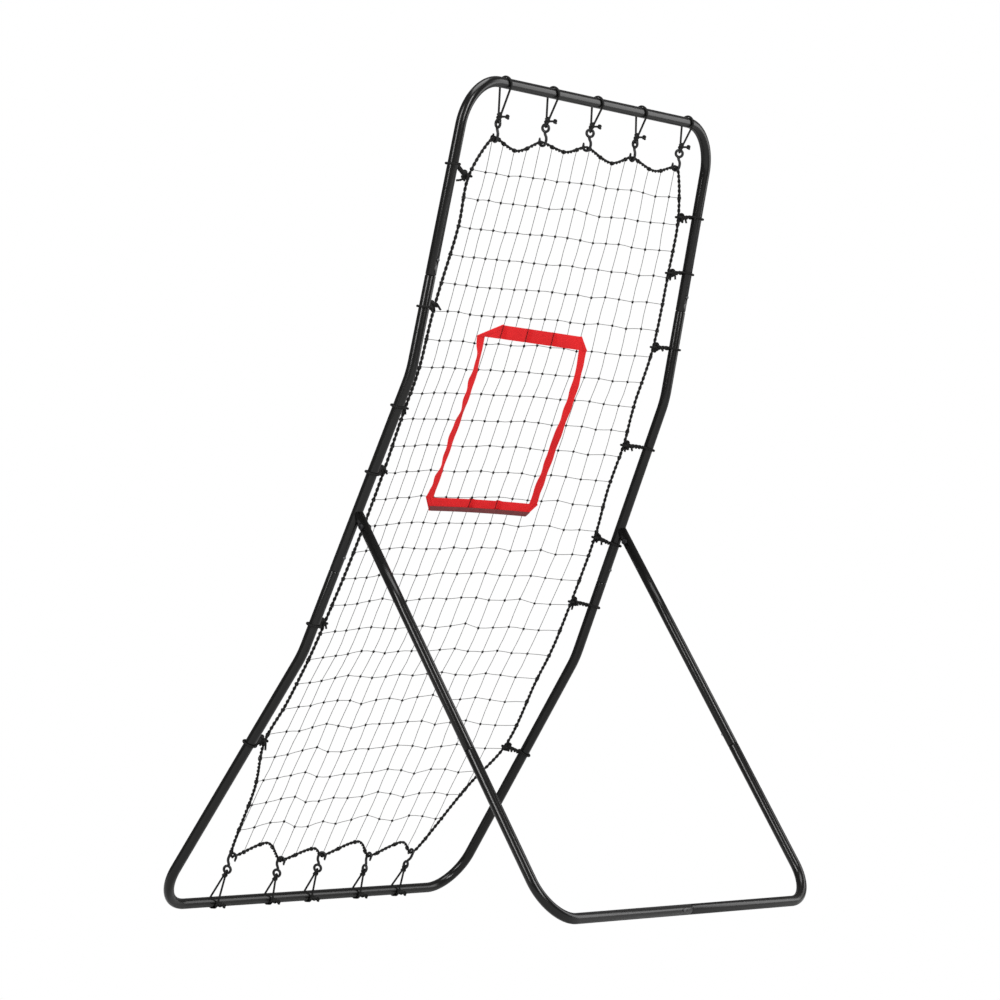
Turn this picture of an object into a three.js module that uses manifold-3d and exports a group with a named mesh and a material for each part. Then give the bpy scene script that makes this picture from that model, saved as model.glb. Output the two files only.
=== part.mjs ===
// Pitch back rebounder: a tall tube frame with two gentle bends, a U-shaped rear leg hinged to it,
// and a knotted net hung inside the frame on elastic cords, hooks and side ties.
// Millimetres. +X is the right rail, +Y is the leg side (the ball comes from -Y), +Z is up.
import * as THREE from 'three';
import { mergeVertices } from 'three/addons/utils/BufferGeometryUtils.js';
import Module from 'manifold-3d';

const wasm = await Module();
wasm.setup();

// ---- driving dimensions -------------------------------------------------------------------------

const TOUCH = 0.3; // gap left between two pieces that touch

// tube
const TUBE_RADIUS = 9.5;
const TUBE_WALL = 1;
const TUBE_SIDES = 12;
const BEND_STEPS = 2;
const CORNER_STEPS = 6;

// the frame's centreline, from the foot bar to the top bar, as seen from the side
const FOOT_HALF_WIDTH = 448;
const LOWER_BEND = { halfWidth: 420.6, y: 316.7, z: 456.9 };
const UPPER_BEND = { halfWidth: 398.7, y: 540.1, z: 942 };
const TOP_BAR = { halfWidth: 386, y: 659.5, z: 1448.4 };
const BEND_RADIUS = 204;
const TOP_CORNER_RADIUS = 88;
const FOOT_CORNER_RADIUS = 78;

// the rear leg
const LEG_FOOT_HALF_WIDTH = 422.3;
const LEG_FOOT_Y = 844.8;
const LEG_CORNER_RADIUS = 75;
const LEG_AIM_LENGTH = 817.4; // the leg's centreline meets the rail's this far up the rail
const PIVOT_REACH = 31; // from there down the leg to the pivot bolt
const COPE_GAP = 0.4; // the leg's open stop: its coped end rests against the rail

// push-together joints
const UPPER_SEAM = 1251; // along the rail, from the foot bar
const LOWER_SEAM = 706;
const LEG_SEAM = 479.5; // down the leg, from the rail's centreline
const SPIGOT_LENGTH = 44;
const SPIGOT_CLEARANCE = 0.4;
const SPIGOT_WALL = 1;
const COLLAR_LENGTH = 4;
const BUTTON_FROM_SEAM = 28;
const BUTTON_RADIUS = 3;
const BUTTON_CLEARANCE = 0.3;
const BUTTON_PROUD = 2.5;
const BUTTON_CHAMFER = 1;
const LEAF = { width: 7, thickness: 0.8, length: 34, depth: 5.2 };

// pivot
const TAB_THICKNESS = 5;
const TAB_RADIUS = 7;
const TAB_SLOT_CLEARANCE = 0.6;
const SLOT_BELOW_PIVOT = 4;
const BOLT_RADIUS = 3;
const BOLT_CLEARANCE = 0.3;
const BOLT_HEAD = { radius: 5.5, height: 3, chamfer: 1 };
const NUT = { radius: 5.8, height: 4.5 };
const BOLT_END_PROUD = 1.5;

// net and its cords
const NET_OFFSET = 13; // from the rails' centreline towards the ball
const NET_BELLY = 28; // the taut net cuts across the frame's bends: its middle stands out this much more
const STRAND = 1.6;
const STRAND_END_GAP = 0.6; // between a strand's end and the border rope
const NET_COLUMNS = 13;
const NET_ROWS = [7, 8, 7]; // below, between and above the frame's two bends
const ROPE_RADIUS = 2.4;
const STRAP = {
  left: -163,
  right: 183,
  bottom: 817,
  top: 1177,
  lean: 11, // its top stands further towards +X than its bottom
  width: 25,
  thickness: 1.2,
  fold: 30, // the top corners are folded over by this much
  ease: 1, // the inner corners are nicked by this much
  netGap: 0.7,
};
const STRAP_STEP = 60; // its longest straight stretch along the net
const BUNGEE_RADIUS = 1.5;
const BUNGEE_STEPS = 9;
const TIE_RADIUS = 1.8;
const TIE_RUN_GAP = 0.7; // between a tie's two runs, side by side
const TIE_SPREAD = TIE_RADIUS + TIE_RUN_GAP / 2;
const TIE_SLACK = 0.25;
const TIE_STEPS = 8;
const TIE_SIDES = 5;
const CORD_SIDES = 6;
const PIN_SIDES = 8;
const GROUND_FLAT = 0.3; // how much of a cord's underside is pressed flat by the floor

// moulded hook: an eye, a shank and a round bend
const HOOK = {
  thickness: 4,
  eyeRadius: 8.5,
  holeRadius: 4.6,
  wire: 4,
  bendDrop: 26, // from the eye's centre to the bend's
  bendRadius: 6.5,
  shoulder: 6, // the shank starts to taper this far above the bend's centre
  tipRise: 7,
  tipFlare: 1, // the open tip leans out by this much
};

// the border rope's route: hand-chosen points, corner to corner, as [x, height in panels], where
// 0 is the foot bar, 1 and 2 are the frame's two bends and 3 is the top bar
const ROPE_TOP = [
  [265, 2.812], [192, 2.785], [124, 2.829], [46, 2.813], [-12, 2.842], [-101, 2.806],
  [-161, 2.838], [-242, 2.808], [-307, 2.835],
];
const ROPE_LEFT = [
  [-307, 2.835], [-349, 2.662], [-352, 2.458], [-350, 2.185], [-333, 1.982], [-345, 1.809],
  [-347, 1.645], [-360, 1.457], [-361, 1.207], [-358, 0.916], [-377, 0.601], [-335, 0.436],
  [-268, 0.147],
];
const ROPE_BOTTOM = [
  [-268, 0.147], [-223, 0.191], [-138, 0.141], [-82, 0.202], [11, 0.154], [46, 0.183],
  [129, 0.143], [197, 0.216], [279, 0.17],
];
const ROPE_RIGHT = [
  [279, 0.17], [323, 0.451], [372, 0.645], [368, 0.788], [375, 0.993], [371, 1.104], [360, 1.289],
  [355, 1.476], [354, 1.648], [359, 1.869], [355, 2.039], [346, 2.227], [320, 2.5], [319, 2.673],
  [265, 2.812],
];
const TOP_HOOK_TURNS = [-20, 5, 20, -20, 20];
const FOOT_HOOK_TURNS = [160, 162, 158, 200, 20];
const HOOK_STEPS = 4;
const ROPE_SEAT = 0.8; // between the rope and the bottom of a hook's bend
const ROPE_LAND = 6; // the rope runs straight through a hook this far each way
const TOP_BAR_PLACES = [281, 136, -3, -146, -300];
const FOOT_BAR_PLACES = [283, 125, 8, -140, -262];
// side ties: the heights, in panels, of each one's knot on the rope and of its loop on the rail
const RIGHT_TIES = [
  [2.673, 2.704], [2.227, 2.223], [1.869, 1.881], [1.648, 1.647], [1.104, 1.107], [0.645, 0.651],
];
const LEFT_TIES = [
  [2.662, 2.669], [2.458, 2.466], [2.185, 2.189], [1.809, 1.815], [1.457, 1.446], [1.207, 1.205],
  [0.601, 0.59],
];

// ---- small tools --------------------------------------------------------------------------------

const V = (x, y, z) => new THREE.Vector3(x, y, z);
const radians = THREE.MathUtils.degToRad;
const { lerp } = THREE.MathUtils;
const BORE_RADIUS = TUBE_RADIUS - TUBE_WALL;
const SPIGOT_RADIUS = BORE_RADIUS - SPIGOT_CLEARANCE;
const SPIGOT_BORE = SPIGOT_RADIUS - SPIGOT_WALL;
const CUTTER_LENGTH = 8 * TUBE_RADIUS; // a cutting rod reaches well past the tube on both sides

/** A path given by its stations, so that a swept piece has a ring at each of them and nowhere else. */
class StationPath extends THREE.Curve {
  constructor(stations) {
    super();
    this.stations = stations;
  }
  station(u) {
    return this.stations[Math.round(u * (this.stations.length - 1))];
  }
  getPoint(u) {
    return this.station(u).point.clone();
  }
  getPointAt(u) {
    return this.getPoint(u);
  }
  getTangentAt(u) {
    return this.station(u).tangent.clone();
  }
  getSpacedPoints(divisions) {
    return Array.from({ length: divisions + 1 }, (_, i) => this.getPoint(i / divisions));
  }
}

/** Stations along straight runs joined by round corners; radii has one entry for each inner point. */
function roundedRoute(points, radii, stepsPerCorner) {
  const stations = [{ point: points[0].clone(), tangent: points[1].clone().sub(points[0]).normalize() }];
  for (let i = 1; i < points.length - 1; i += 1) {
    const before = points[i].clone().sub(points[i - 1]).normalize();
    const after = points[i + 1].clone().sub(points[i]).normalize();
    const turn = before.angleTo(after);
    const setback = radii[i - 1] * Math.tan(turn / 2);
    const start = points[i].clone().addScaledVector(before, -setback);
    const axis = before.clone().cross(after).normalize();
    const toCentre = axis.clone().cross(before).multiplyScalar(radii[i - 1]);
    const centre = start.clone().add(toCentre);
    for (let k = 0; k <= stepsPerCorner[i - 1]; k += 1) {
      const angle = (turn * k) / stepsPerCorner[i - 1];
      const arm = toCentre.clone().negate().applyAxisAngle(axis, angle);
      const tangent = before.clone().applyAxisAngle(axis, angle);
      stations.push({ point: centre.clone().add(arm), tangent });
    }
  }
  const end = points.at(-1);
  stations.push({ point: end.clone(), tangent: end.clone().sub(points.at(-2)).normalize() });
  return stations;
}

/** Stations through a list of points, each with its ring halfway between its two runs. */
function smoothRoute(points) {
  const run = (i) => points[i + 1].clone().sub(points[i]).normalize();
  return points.map((point, i) => {
    const before = run(Math.max(i - 1, 0));
    const after = run(Math.min(i, points.length - 2));
    return { point: point.clone(), tangent: before.add(after).normalize() };
  });
}

/** A regular polygon with a flat facing +X, measured across its corners. */
function polygon(radius, sides) {
  return Array.from({ length: sides }, (_, i) => {
    const angle = ((i + 0.5) * 2 * Math.PI) / sides;
    return new THREE.Vector2(radius * Math.cos(angle), radius * Math.sin(angle));
  });
}

function sweep(section, stations) {
  const extrudePath = new StationPath(stations);
  const steps = stations.length - 1;
  return solid(new THREE.ExtrudeGeometry(section, { steps, extrudePath, bevelEnabled: false }));
}

function cord(radius, sides, stations) {
  return sweep(new THREE.Shape(polygon(radius, sides)), stations);
}

/** The corners of each station's ring, turned as little as can be from one to the next. */
function ringCorners(stations) {
  const axis = Math.abs(stations[0].tangent.x) > 0.9 ? V(0, 0, 1) : V(1, 0, 0);
  return stations.map(({ point, tangent, radius }) => {
    axis.projectOnPlane(tangent).normalize();
    const other = tangent.clone().cross(axis);
    return polygon(radius, TUBE_SIDES).map(({ x, y }) => (
      point.clone().addScaledVector(axis, x).addScaledVector(other, y)));
  });
}

/** Hollow tube: rings out along its outside and back along its bore, joined into one skin. */
function pipe(outside, bore) {
  const rings = [...ringCorners(outside), ...ringCorners(bore).reverse()];
  const faces = [];
  rings.forEach((ring, k) => {
    const next = (k + 1) % rings.length;
    for (let i = 0; i < TUBE_SIDES; i += 1) {
      const j = (i + 1) % TUBE_SIDES;
      const [a, b] = [k * TUBE_SIDES + i, k * TUBE_SIDES + j];
      const [c, d] = [next * TUBE_SIDES + j, next * TUBE_SIDES + i];
      faces.push(a, b, c, a, c, d);
    }
  });
  const geometry = new THREE.BufferGeometry().setFromPoints(rings.flat());
  geometry.setIndex(faces);
  return solid(geometry);
}

/** A tube along stations, its start or end narrowed to slide into the next one where asked. */
function tube(stations, { startSpigot = false, endSpigot = false } = {}) {
  const outside = stations.map((station) => ({ ...station, radius: TUBE_RADIUS }));
  const bore = stations.map((station) => ({ ...station, radius: BORE_RADIUS }));
  const spigot = (seam, way) => {
    const at = (distance, radius) => {
      const point = seam.point.clone().addScaledVector(seam.tangent, way * distance);
      return { point, tangent: seam.tangent, radius };
    };
    const collar = [at(-COLLAR_LENGTH, BORE_RADIUS), at(-COLLAR_LENGTH, SPIGOT_BORE)];
    return {
      outside: [at(0, SPIGOT_RADIUS), at(SPIGOT_LENGTH, SPIGOT_RADIUS)],
      bore: [...collar, at(SPIGOT_LENGTH, SPIGOT_BORE)],
    };
  };
  if (endSpigot) {
    const end = spigot(stations.at(-1), 1);
    outside.push(...end.outside);
    bore.splice(-1, 1, ...end.bore);
  }
  if (startSpigot) {
    const start = spigot(stations[0], -1);
    outside.unshift(...start.outside.reverse());
    bore.splice(0, 1, ...start.bore.reverse());
  }
  return pipe(outside, bore);
}

/** A closed geometry as a solid that can be joined and cut, with its faces pointing out. */
function solid(geometry) {
  const bare = geometry.clone();
  bare.deleteAttribute('normal');
  bare.deleteAttribute('uv');
  const welded = mergeVertices(bare, 1e-4);
  const triVerts = Uint32Array.from(welded.index.array);
  const vertProperties = Float32Array.from(welded.attributes.position.array);
  const made = new wasm.Manifold(new wasm.Mesh({ numProp: 3, vertProperties, triVerts }));
  if (made.volume() > 0) return made;
  return new wasm.Manifold(new wasm.Mesh({ numProp: 3, vertProperties, triVerts: triVerts.reverse() }));
}

function geometryOf(manifold) {
  const mesh = manifold.getMesh();
  const geometry = new THREE.BufferGeometry();
  geometry.setAttribute('position', new THREE.BufferAttribute(mesh.vertProperties, 3));
  geometry.setIndex(new THREE.BufferAttribute(mesh.triVerts, 1));
  geometry.computeVertexNormals();
  return geometry;
}

/** Turns a geometry made along +Y so that it points along a direction, and puts it at a point. */
function placeAlong(geometry, direction, point) {
  const turn = new THREE.Quaternion().setFromUnitVectors(V(0, 1, 0), direction.clone().normalize());
  return geometry.clone().applyQuaternion(turn).translate(point.x, point.y, point.z);
}

/** A solid of revolution along a direction; its profile of [radius, distance] ends on the axis. */
function turned(outline, direction, point) {
  const points = outline.map(([r, h]) => new THREE.Vector2(r, h));
  return solid(placeAlong(new THREE.LatheGeometry(points, PIN_SIDES), direction, point));
}

function rod(radius, length, sides, direction, point) {
  return solid(placeAlong(new THREE.CylinderGeometry(radius, radius, length, sides), direction, point));
}

// ---- where things are ---------------------------------------------------------------------------

const LEG_FOOT_Z = TUBE_RADIUS * Math.cos(Math.PI / TUBE_SIDES); // the leg bar lies on one of its flats
const BUNGEE_BAR_RADIUS = TUBE_RADIUS + TOUCH + BUNGEE_RADIUS;
const FOOT_BAR_Z = BUNGEE_BAR_RADIUS + BUNGEE_RADIUS - GROUND_FLAT; // the cords pass under the foot bar

/** The frame's corner points on one side: foot corner, lower bend, upper bend, top corner. */
function railCorners(side) {
  return [
    V(side * FOOT_HALF_WIDTH, 0, FOOT_BAR_Z),
    V(side * LOWER_BEND.halfWidth, LOWER_BEND.y, LOWER_BEND.z),
    V(side * UPPER_BEND.halfWidth, UPPER_BEND.y, UPPER_BEND.z),
    V(side * TOP_BAR.halfWidth, TOP_BAR.y, TOP_BAR.z),
  ];
}

// the side profile's three straight panels, measured along the frame from the foot bar
const profile = railCorners(0);
const panelLengths = profile.slice(1).map((corner, i) => corner.distanceTo(profile[i]));
const panelStarts = [0, panelLengths[0], panelLengths[0] + panelLengths[1]];
const CREASE_LOW = panelStarts[1];
const CREASE_HIGH = panelStarts[2];
const panelOf = (along) => (along > CREASE_HIGH ? 2 : Number(along > CREASE_LOW));
const panelDirection = (i) => profile[i + 1].clone().sub(profile[i]).normalize();
const panelNormal = (i) => V(1, 0, 0).cross(panelDirection(i)).normalize(); // towards the ball
const CREASE_SNAP = 0.01;

/** The distance along the profile of a height given in panels. */
function distanceUp(height) {
  const i = Math.min(Math.floor(height), panelLengths.length - 1);
  return panelStarts[i] + (height - i) * panelLengths[i];
}

const onProfile = (points) => points.map(([x, height]) => [x, distanceUp(height)]);

/** The direction away from the rails' centreline towards the ball, mitred at the two creases. */
function normalAt(along) {
  for (const i of [0, 1]) {
    if (Math.abs(along - panelStarts[i + 1]) < CREASE_SNAP) {
      const middle = panelNormal(i).add(panelNormal(i + 1)).normalize();
      return middle.divideScalar(middle.dot(panelNormal(i)));
    }
  }
  return panelNormal(panelOf(along));
}

/** A point x across the frame, so far along its profile, and so far towards the ball. */
function place(x, along, offset) {
  const i = panelOf(along);
  const middle = profile[i].clone().addScaledVector(panelDirection(i), along - panelStarts[i]);
  return middle.addScaledVector(normalAt(along), offset).setX(x);
}

/** The rail's centre and direction so far up the frame. */
function railAt(side, along) {
  const i = panelOf(along);
  const corners = railCorners(side);
  const share = (along - panelStarts[i]) / panelLengths[i];
  const direction = corners[i + 1].clone().sub(corners[i]).normalize();
  return { point: corners[i].clone().lerp(corners[i + 1], share), direction };
}

/** The leg's centreline: where it meets the rail, its direction down, and the pivot bolt's place. */
function legLine(side) {
  const top = railAt(side, LEG_AIM_LENGTH).point;
  const foot = V(side * LEG_FOOT_HALF_WIDTH, LEG_FOOT_Y, LEG_FOOT_Z);
  const direction = foot.clone().sub(top).normalize();
  const at = (distance) => top.clone().addScaledVector(direction, distance);
  return { top, foot, direction, at, pivot: at(PIVOT_REACH) };
}

// ---- frame and leg tubes ------------------------------------------------------------------------

/** A joint's snap button: on a line out across the tube from a point of its centreline. */
function snapJoint(centre, out, along) {
  const middle = centre.clone().addScaledVector(out, TUBE_RADIUS);
  const hole = rod(BUTTON_RADIUS + BUTTON_CLEARANCE, TUBE_RADIUS, PIN_SIDES, out, middle);
  return { centre, out, along, hole };
}

/** Snap button: a domed pin on a spring leaf that lies inside the spigot. */
function snapButton({ centre, out, along }) {
  const tip = TUBE_RADIUS + BUTTON_PROUD;
  const pin = turned([
    [0, LEAF.depth], [BUTTON_RADIUS, LEAF.depth], [BUTTON_RADIUS, tip - BUTTON_CHAMFER],
    [BUTTON_RADIUS - BUTTON_CHAMFER, tip], [0, tip],
  ], out, centre);
  const leaf = new THREE.BoxGeometry(LEAF.width, LEAF.thickness, LEAF.length);
  leaf.applyMatrix4(new THREE.Matrix4().makeBasis(out.clone().cross(along), out, along));
  const seat = centre.clone().addScaledVector(out, LEAF.depth);
  return pin.add(solid(leaf.translate(seat.x, seat.y, seat.z)));
}

const sides = { left: -1, right: 1 };
const upperJoint = {};
const lowerJoint = {};
const legJoint = {};
for (const [name, side] of Object.entries(sides)) {
  const upper = railAt(side, UPPER_SEAM + BUTTON_FROM_SEAM);
  const lower = railAt(side, LOWER_SEAM + BUTTON_FROM_SEAM);
  const leg = legLine(side);
  // the frame's buttons face the leg side; the leg's own face the frame
  const facing = (direction) => V(1, 0, 0).cross(direction).normalize();
  upperJoint[name] = snapJoint(upper.point, facing(upper.direction).negate(), upper.direction);
  lowerJoint[name] = snapJoint(lower.point, facing(lower.direction).negate(), lower.direction);
  const button = leg.at(LEG_SEAM - BUTTON_FROM_SEAM);
  legJoint[name] = snapJoint(button, facing(leg.direction).negate(), leg.direction);
}
const barJoint = snapJoint(V(BUTTON_FROM_SEAM, LEG_FOOT_Y, LEG_FOOT_Z), V(0, 1, 0), V(1, 0, 0));

function upperHoopRoute() {
  const [right, left] = [1, -1].map((side) => railAt(side, UPPER_SEAM + TOUCH).point);
  const radii = [TOP_CORNER_RADIUS, TOP_CORNER_RADIUS];
  const points = [right, railCorners(1)[3], railCorners(-1)[3], left];
  return roundedRoute(points, radii, [CORNER_STEPS, CORNER_STEPS]);
}

function upperHoop() {
  return tube(upperHoopRoute()).subtract(upperJoint.right.hole).subtract(upperJoint.left.hole);
}

function midRail(name) {
  const side = sides[name];
  const start = railAt(side, LOWER_SEAM + TOUCH).point;
  const end = railAt(side, UPPER_SEAM).point;
  const route = roundedRoute([start, railCorners(side)[2], end], [BEND_RADIUS], [BEND_STEPS]);
  return tube(route, { endSpigot: true })
    .subtract(upperJoint[name].hole)
    .subtract(lowerJoint[name].hole);
}

function lowerHoopRoute() {
  const [footRight, bendRight] = railCorners(1);
  const [footLeft, bendLeft] = railCorners(-1);
  const ends = [1, -1].map((side) => railAt(side, LOWER_SEAM).point);
  const points = [ends[0], bendRight, footRight, footLeft, bendLeft, ends[1]];
  const radii = [BEND_RADIUS, FOOT_CORNER_RADIUS, FOOT_CORNER_RADIUS, BEND_RADIUS];
  const steps = [BEND_STEPS, CORNER_STEPS, CORNER_STEPS, BEND_STEPS];
  return roundedRoute(points, radii, steps);
}

/** Lower hoop: a spigot at both ends, for the mid rails. */
function lowerHoop() {
  const hoop = tube(lowerHoopRoute(), { startSpigot: true, endSpigot: true });
  return hoop.subtract(lowerJoint.right.hole).subtract(lowerJoint.left.hole);
}

/** A round bar along the rail at the pivot, for fitting things to its outside. */
function railBlank(name, clearance) {
  const rail = railAt(sides[name], LEG_AIM_LENGTH);
  return rod(TUBE_RADIUS + clearance, CUTTER_LENGTH, 2 * TUBE_SIDES, rail.direction, rail.point);
}

/** Upper leg: its end is coped to rest on the rail, and slotted in front for the pivot tab. */
function upperLeg(name) {
  const leg = legLine(sides[name]);
  const across = V(1, 0, 0);
  const front = leg.direction.clone().cross(across).normalize();
  const slotLength = PIVOT_REACH + SLOT_BELOW_PIVOT;
  const slotWidth = TAB_THICKNESS + 2 * TAB_SLOT_CLEARANCE;
  const slot = new THREE.BoxGeometry(slotWidth, 2 * TUBE_RADIUS, slotLength);
  slot.applyMatrix4(new THREE.Matrix4().makeBasis(across, front, across.clone().cross(front)));
  const middle = leg.at(slotLength / 2).addScaledVector(front, TUBE_RADIUS);
  const bolt = rod(BOLT_RADIUS + BOLT_CLEARANCE, CUTTER_LENGTH, PIN_SIDES, across, leg.pivot);
  return tube(roundedRoute([leg.at(0), leg.at(LEG_SEAM - TOUCH)], [], []))
    .subtract(railBlank(name, COPE_GAP))
    .subtract(solid(slot.translate(middle.x, middle.y, middle.z)))
    .subtract(bolt)
    .subtract(legJoint[name].hole);
}

/** Lower leg: one upright, its foot corner and half of the leg bar. */
function lowerLeg(name) {
  const side = sides[name];
  const leg = legLine(side);
  const barEnd = V(side > 0 ? TOUCH : 0, LEG_FOOT_Y, LEG_FOOT_Z);
  const points = [barEnd, leg.foot, leg.at(LEG_SEAM)];
  const half = tube(roundedRoute(points, [LEG_CORNER_RADIUS], [CORNER_STEPS]), {
    startSpigot: side < 0,
    endSpigot: true,
  });
  return half.subtract(legJoint[name].hole).subtract(barJoint.hole);
}

/** Tab on the rail's leg side that carries the pivot bolt inside the leg's end. */
function pivotTab(name) {
  const leg = legLine(sides[name]);
  const plate = new THREE.Shape();
  plate.absarc(0, 0, TAB_RADIUS, 0, Math.PI, false);
  plate.lineTo(-TAB_RADIUS, -PIVOT_REACH);
  plate.lineTo(TAB_RADIUS, -PIVOT_REACH);
  const bore = new THREE.Path();
  bore.absarc(0, 0, BOLT_RADIUS + BOLT_CLEARANCE, 0, 2 * Math.PI, true);
  plate.holes.push(bore);
  const settings = { depth: TAB_THICKNESS, bevelEnabled: false, curveSegments: PIN_SIDES / 2 };
  const flat = new THREE.ExtrudeGeometry(plate, settings).translate(0, 0, -TAB_THICKNESS / 2);
  const across = V(1, 0, 0);
  const down = leg.direction.clone().projectOnPlane(across).normalize();
  flat.applyMatrix4(new THREE.Matrix4().makeBasis(down.clone().cross(across), down, across));
  return solid(flat.translate(leg.pivot.x, leg.pivot.y, leg.pivot.z)).subtract(railBlank(name, TOUCH));
}

const BOLT_SEAT = TUBE_RADIUS + TOUCH; // the head and the nut lie on the leg's sides

function pivotBolt(name) {
  const end = BOLT_SEAT + NUT.height + BOLT_END_PROUD;
  const top = BOLT_SEAT + BOLT_HEAD.height;
  return turned([
    [0, -end], [BOLT_RADIUS, -end], [BOLT_RADIUS, BOLT_SEAT], [BOLT_HEAD.radius, BOLT_SEAT],
    [BOLT_HEAD.radius, top - BOLT_HEAD.chamfer], [BOLT_HEAD.radius - BOLT_HEAD.chamfer, top], [0, top],
  ], V(sides[name], 0, 0), legLine(sides[name]).pivot);
}

function lockNut(name) {
  const hexagon = new THREE.Shape(polygon(NUT.radius, 6));
  const thread = new THREE.Path();
  thread.absarc(0, 0, BOLT_RADIUS + BOLT_CLEARANCE, 0, 2 * Math.PI, true);
  hexagon.holes.push(thread);
  const settings = { depth: NUT.height, bevelEnabled: false, curveSegments: PIN_SIDES / 2 };
  const flat = new THREE.ExtrudeGeometry(hexagon, settings).translate(0, 0, BOLT_SEAT);
  const { pivot } = legLine(sides[name]);
  return solid(flat.rotateY(-sides[name] * Math.PI / 2).translate(pivot.x, pivot.y, pivot.z));
}

// ---- net, rope and strap ------------------------------------------------------------------------

const flatPoints = (list) => list.map(([x, along]) => new THREE.Vector2(x, along));
const topRope = onProfile(ROPE_TOP);
const footRope = onProfile(ROPE_BOTTOM);
const rightSide = onProfile(ROPE_RIGHT);
const leftSide = onProfile(ROPE_LEFT).reverse();
const topEdge = new THREE.SplineCurve(flatPoints(topRope));
const footEdge = new THREE.SplineCurve(flatPoints(footRope));
const rowStarts = [0, NET_ROWS[0], NET_ROWS[0] + NET_ROWS[1], NET_ROWS[0] + NET_ROWS[1] + NET_ROWS[2]];
const TOP_ROW = rowStarts[3];

const panelOfRow = (j) => Math.max(rowStarts.findIndex((start) => start >= j) - 1, 0);

/** A side edge's x at a distance along the frame, between its hand-chosen points. */
function sideX(points, along) {
  const above = Math.max(points.findIndex((point) => point[1] >= along), 1);
  const [[x0, along0], [x1, along1]] = [points[above - 1], points[above]];
  return THREE.MathUtils.mapLinear(along, along0, along1, x0, x1);
}

/** Where net row j meets the rope on one side; two of the rows lie on the frame's creases. */
function sidePoint(points, j) {
  const marks = [points[0][1], CREASE_LOW, CREASE_HIGH, points.at(-1)[1]];
  const panel = panelOfRow(j);
  const along = lerp(marks[panel], marks[panel + 1], (j - rowStarts[panel]) / NET_ROWS[panel]);
  return new THREE.Vector2(sideX(points, along), along);
}

/** Rope points along the top or foot edge: at each net column, and straight through each hook. */
function edgeStops(edge) {
  const way = Math.sign(edge.getPoint(1).x - edge.getPoint(0).x);
  const columns = Array.from({ length: NET_COLUMNS - 1 }, (_, i) => (i + 1) / NET_COLUMNS);
  const hooks = TOP_BAR_PLACES.map((_, i) => i / (TOP_BAR_PLACES.length - 1));
  return [...columns, ...hooks].sort((a, b) => a - b).flatMap((share) => {
    const { x, y } = edge.getPoint(share);
    const land = way * ROPE_LAND;
    return hooks.includes(share) ? flatPoints([[x - land, y], [x + land, y]]) : flatPoints([[x, y]]);
  });
}

const netFoot = Math.min(...footRope.map(([, along]) => along));
const netTop = Math.max(...topRope.map(([, along]) => along));
const netHalfWidth = Math.max(...[...rightSide, ...leftSide].map(([x]) => Math.abs(x)));

/** A point of the net's middle surface, or so far from it towards the ball. */
function onNet({ x, y: along }, depth = 0) {
  const across = 1 - (x / netHalfWidth) ** 2;
  const up = THREE.MathUtils.clamp((along - netFoot) / (netTop - netFoot), 0, 1);
  return place(x, along, NET_OFFSET + NET_BELLY * across * Math.sin(Math.PI * up) + depth);
}

const rows = Array.from({ length: TOP_ROW + 1 }, (_, j) => j);
const innerRows = rows.slice(1, -1);
const topStops = edgeStops(topEdge);
const ropeLoop = [
  ...topStops,
  ...innerRows.map((j) => sidePoint(leftSide, TOP_ROW - j)),
  ...edgeStops(footEdge),
  ...innerRows.map((j) => sidePoint(rightSide, j)),
  topStops[0],
];

/** Border rope: once round the net, its two ends meeting beside the upper right hook. */
function borderRope() {
  const stations = smoothRoute(ropeLoop.map((flat) => onNet(flat)));
  const [first, last] = [stations[0], stations.at(-1)];
  first.point.addScaledVector(first.tangent, ROPE_RADIUS);
  last.point.addScaledVector(last.tangent, -ROPE_RADIUS);
  return cord(ROPE_RADIUS, CORD_SIDES, stations);
}

/** Where column strand i crosses row strand j, blended between the four edges of its panel. */
function crossing(i, j) {
  const across = i / NET_COLUMNS;
  const [right, left] = [sidePoint(rightSide, j), sidePoint(leftSide, j)];
  const panel = panelOfRow(j);
  const up = (j - rowStarts[panel]) / NET_ROWS[panel];
  const straight = (row, share) => sidePoint(rightSide, row).lerp(sidePoint(leftSide, row), share);
  const low = panel === 0 ? footEdge.getPoint(1 - across) : straight(rowStarts[panel], across);
  const high = panel === 2 ? topEdge.getPoint(across) : straight(rowStarts[panel + 1], across);
  const corners = straight(rowStarts[panel], across).lerp(straight(rowStarts[panel + 1], across), up);
  return low.lerp(high, up).add(right.lerp(left, across)).sub(corners);
}

/** How far before the rope's centreline a strand ends, for the angle at which they meet. */
function strandEnd(knot, edgePoint, ropeDirection) {
  const strand = edgePoint.clone().sub(knot).normalize();
  const slant = Math.abs(strand.dot(ropeDirection));
  const short = (ROPE_RADIUS + STRAND_END_GAP + slant * STRAND) / Math.sqrt(1 - slant * slant);
  return edgePoint.clone().addScaledVector(strand, -short);
}

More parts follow.
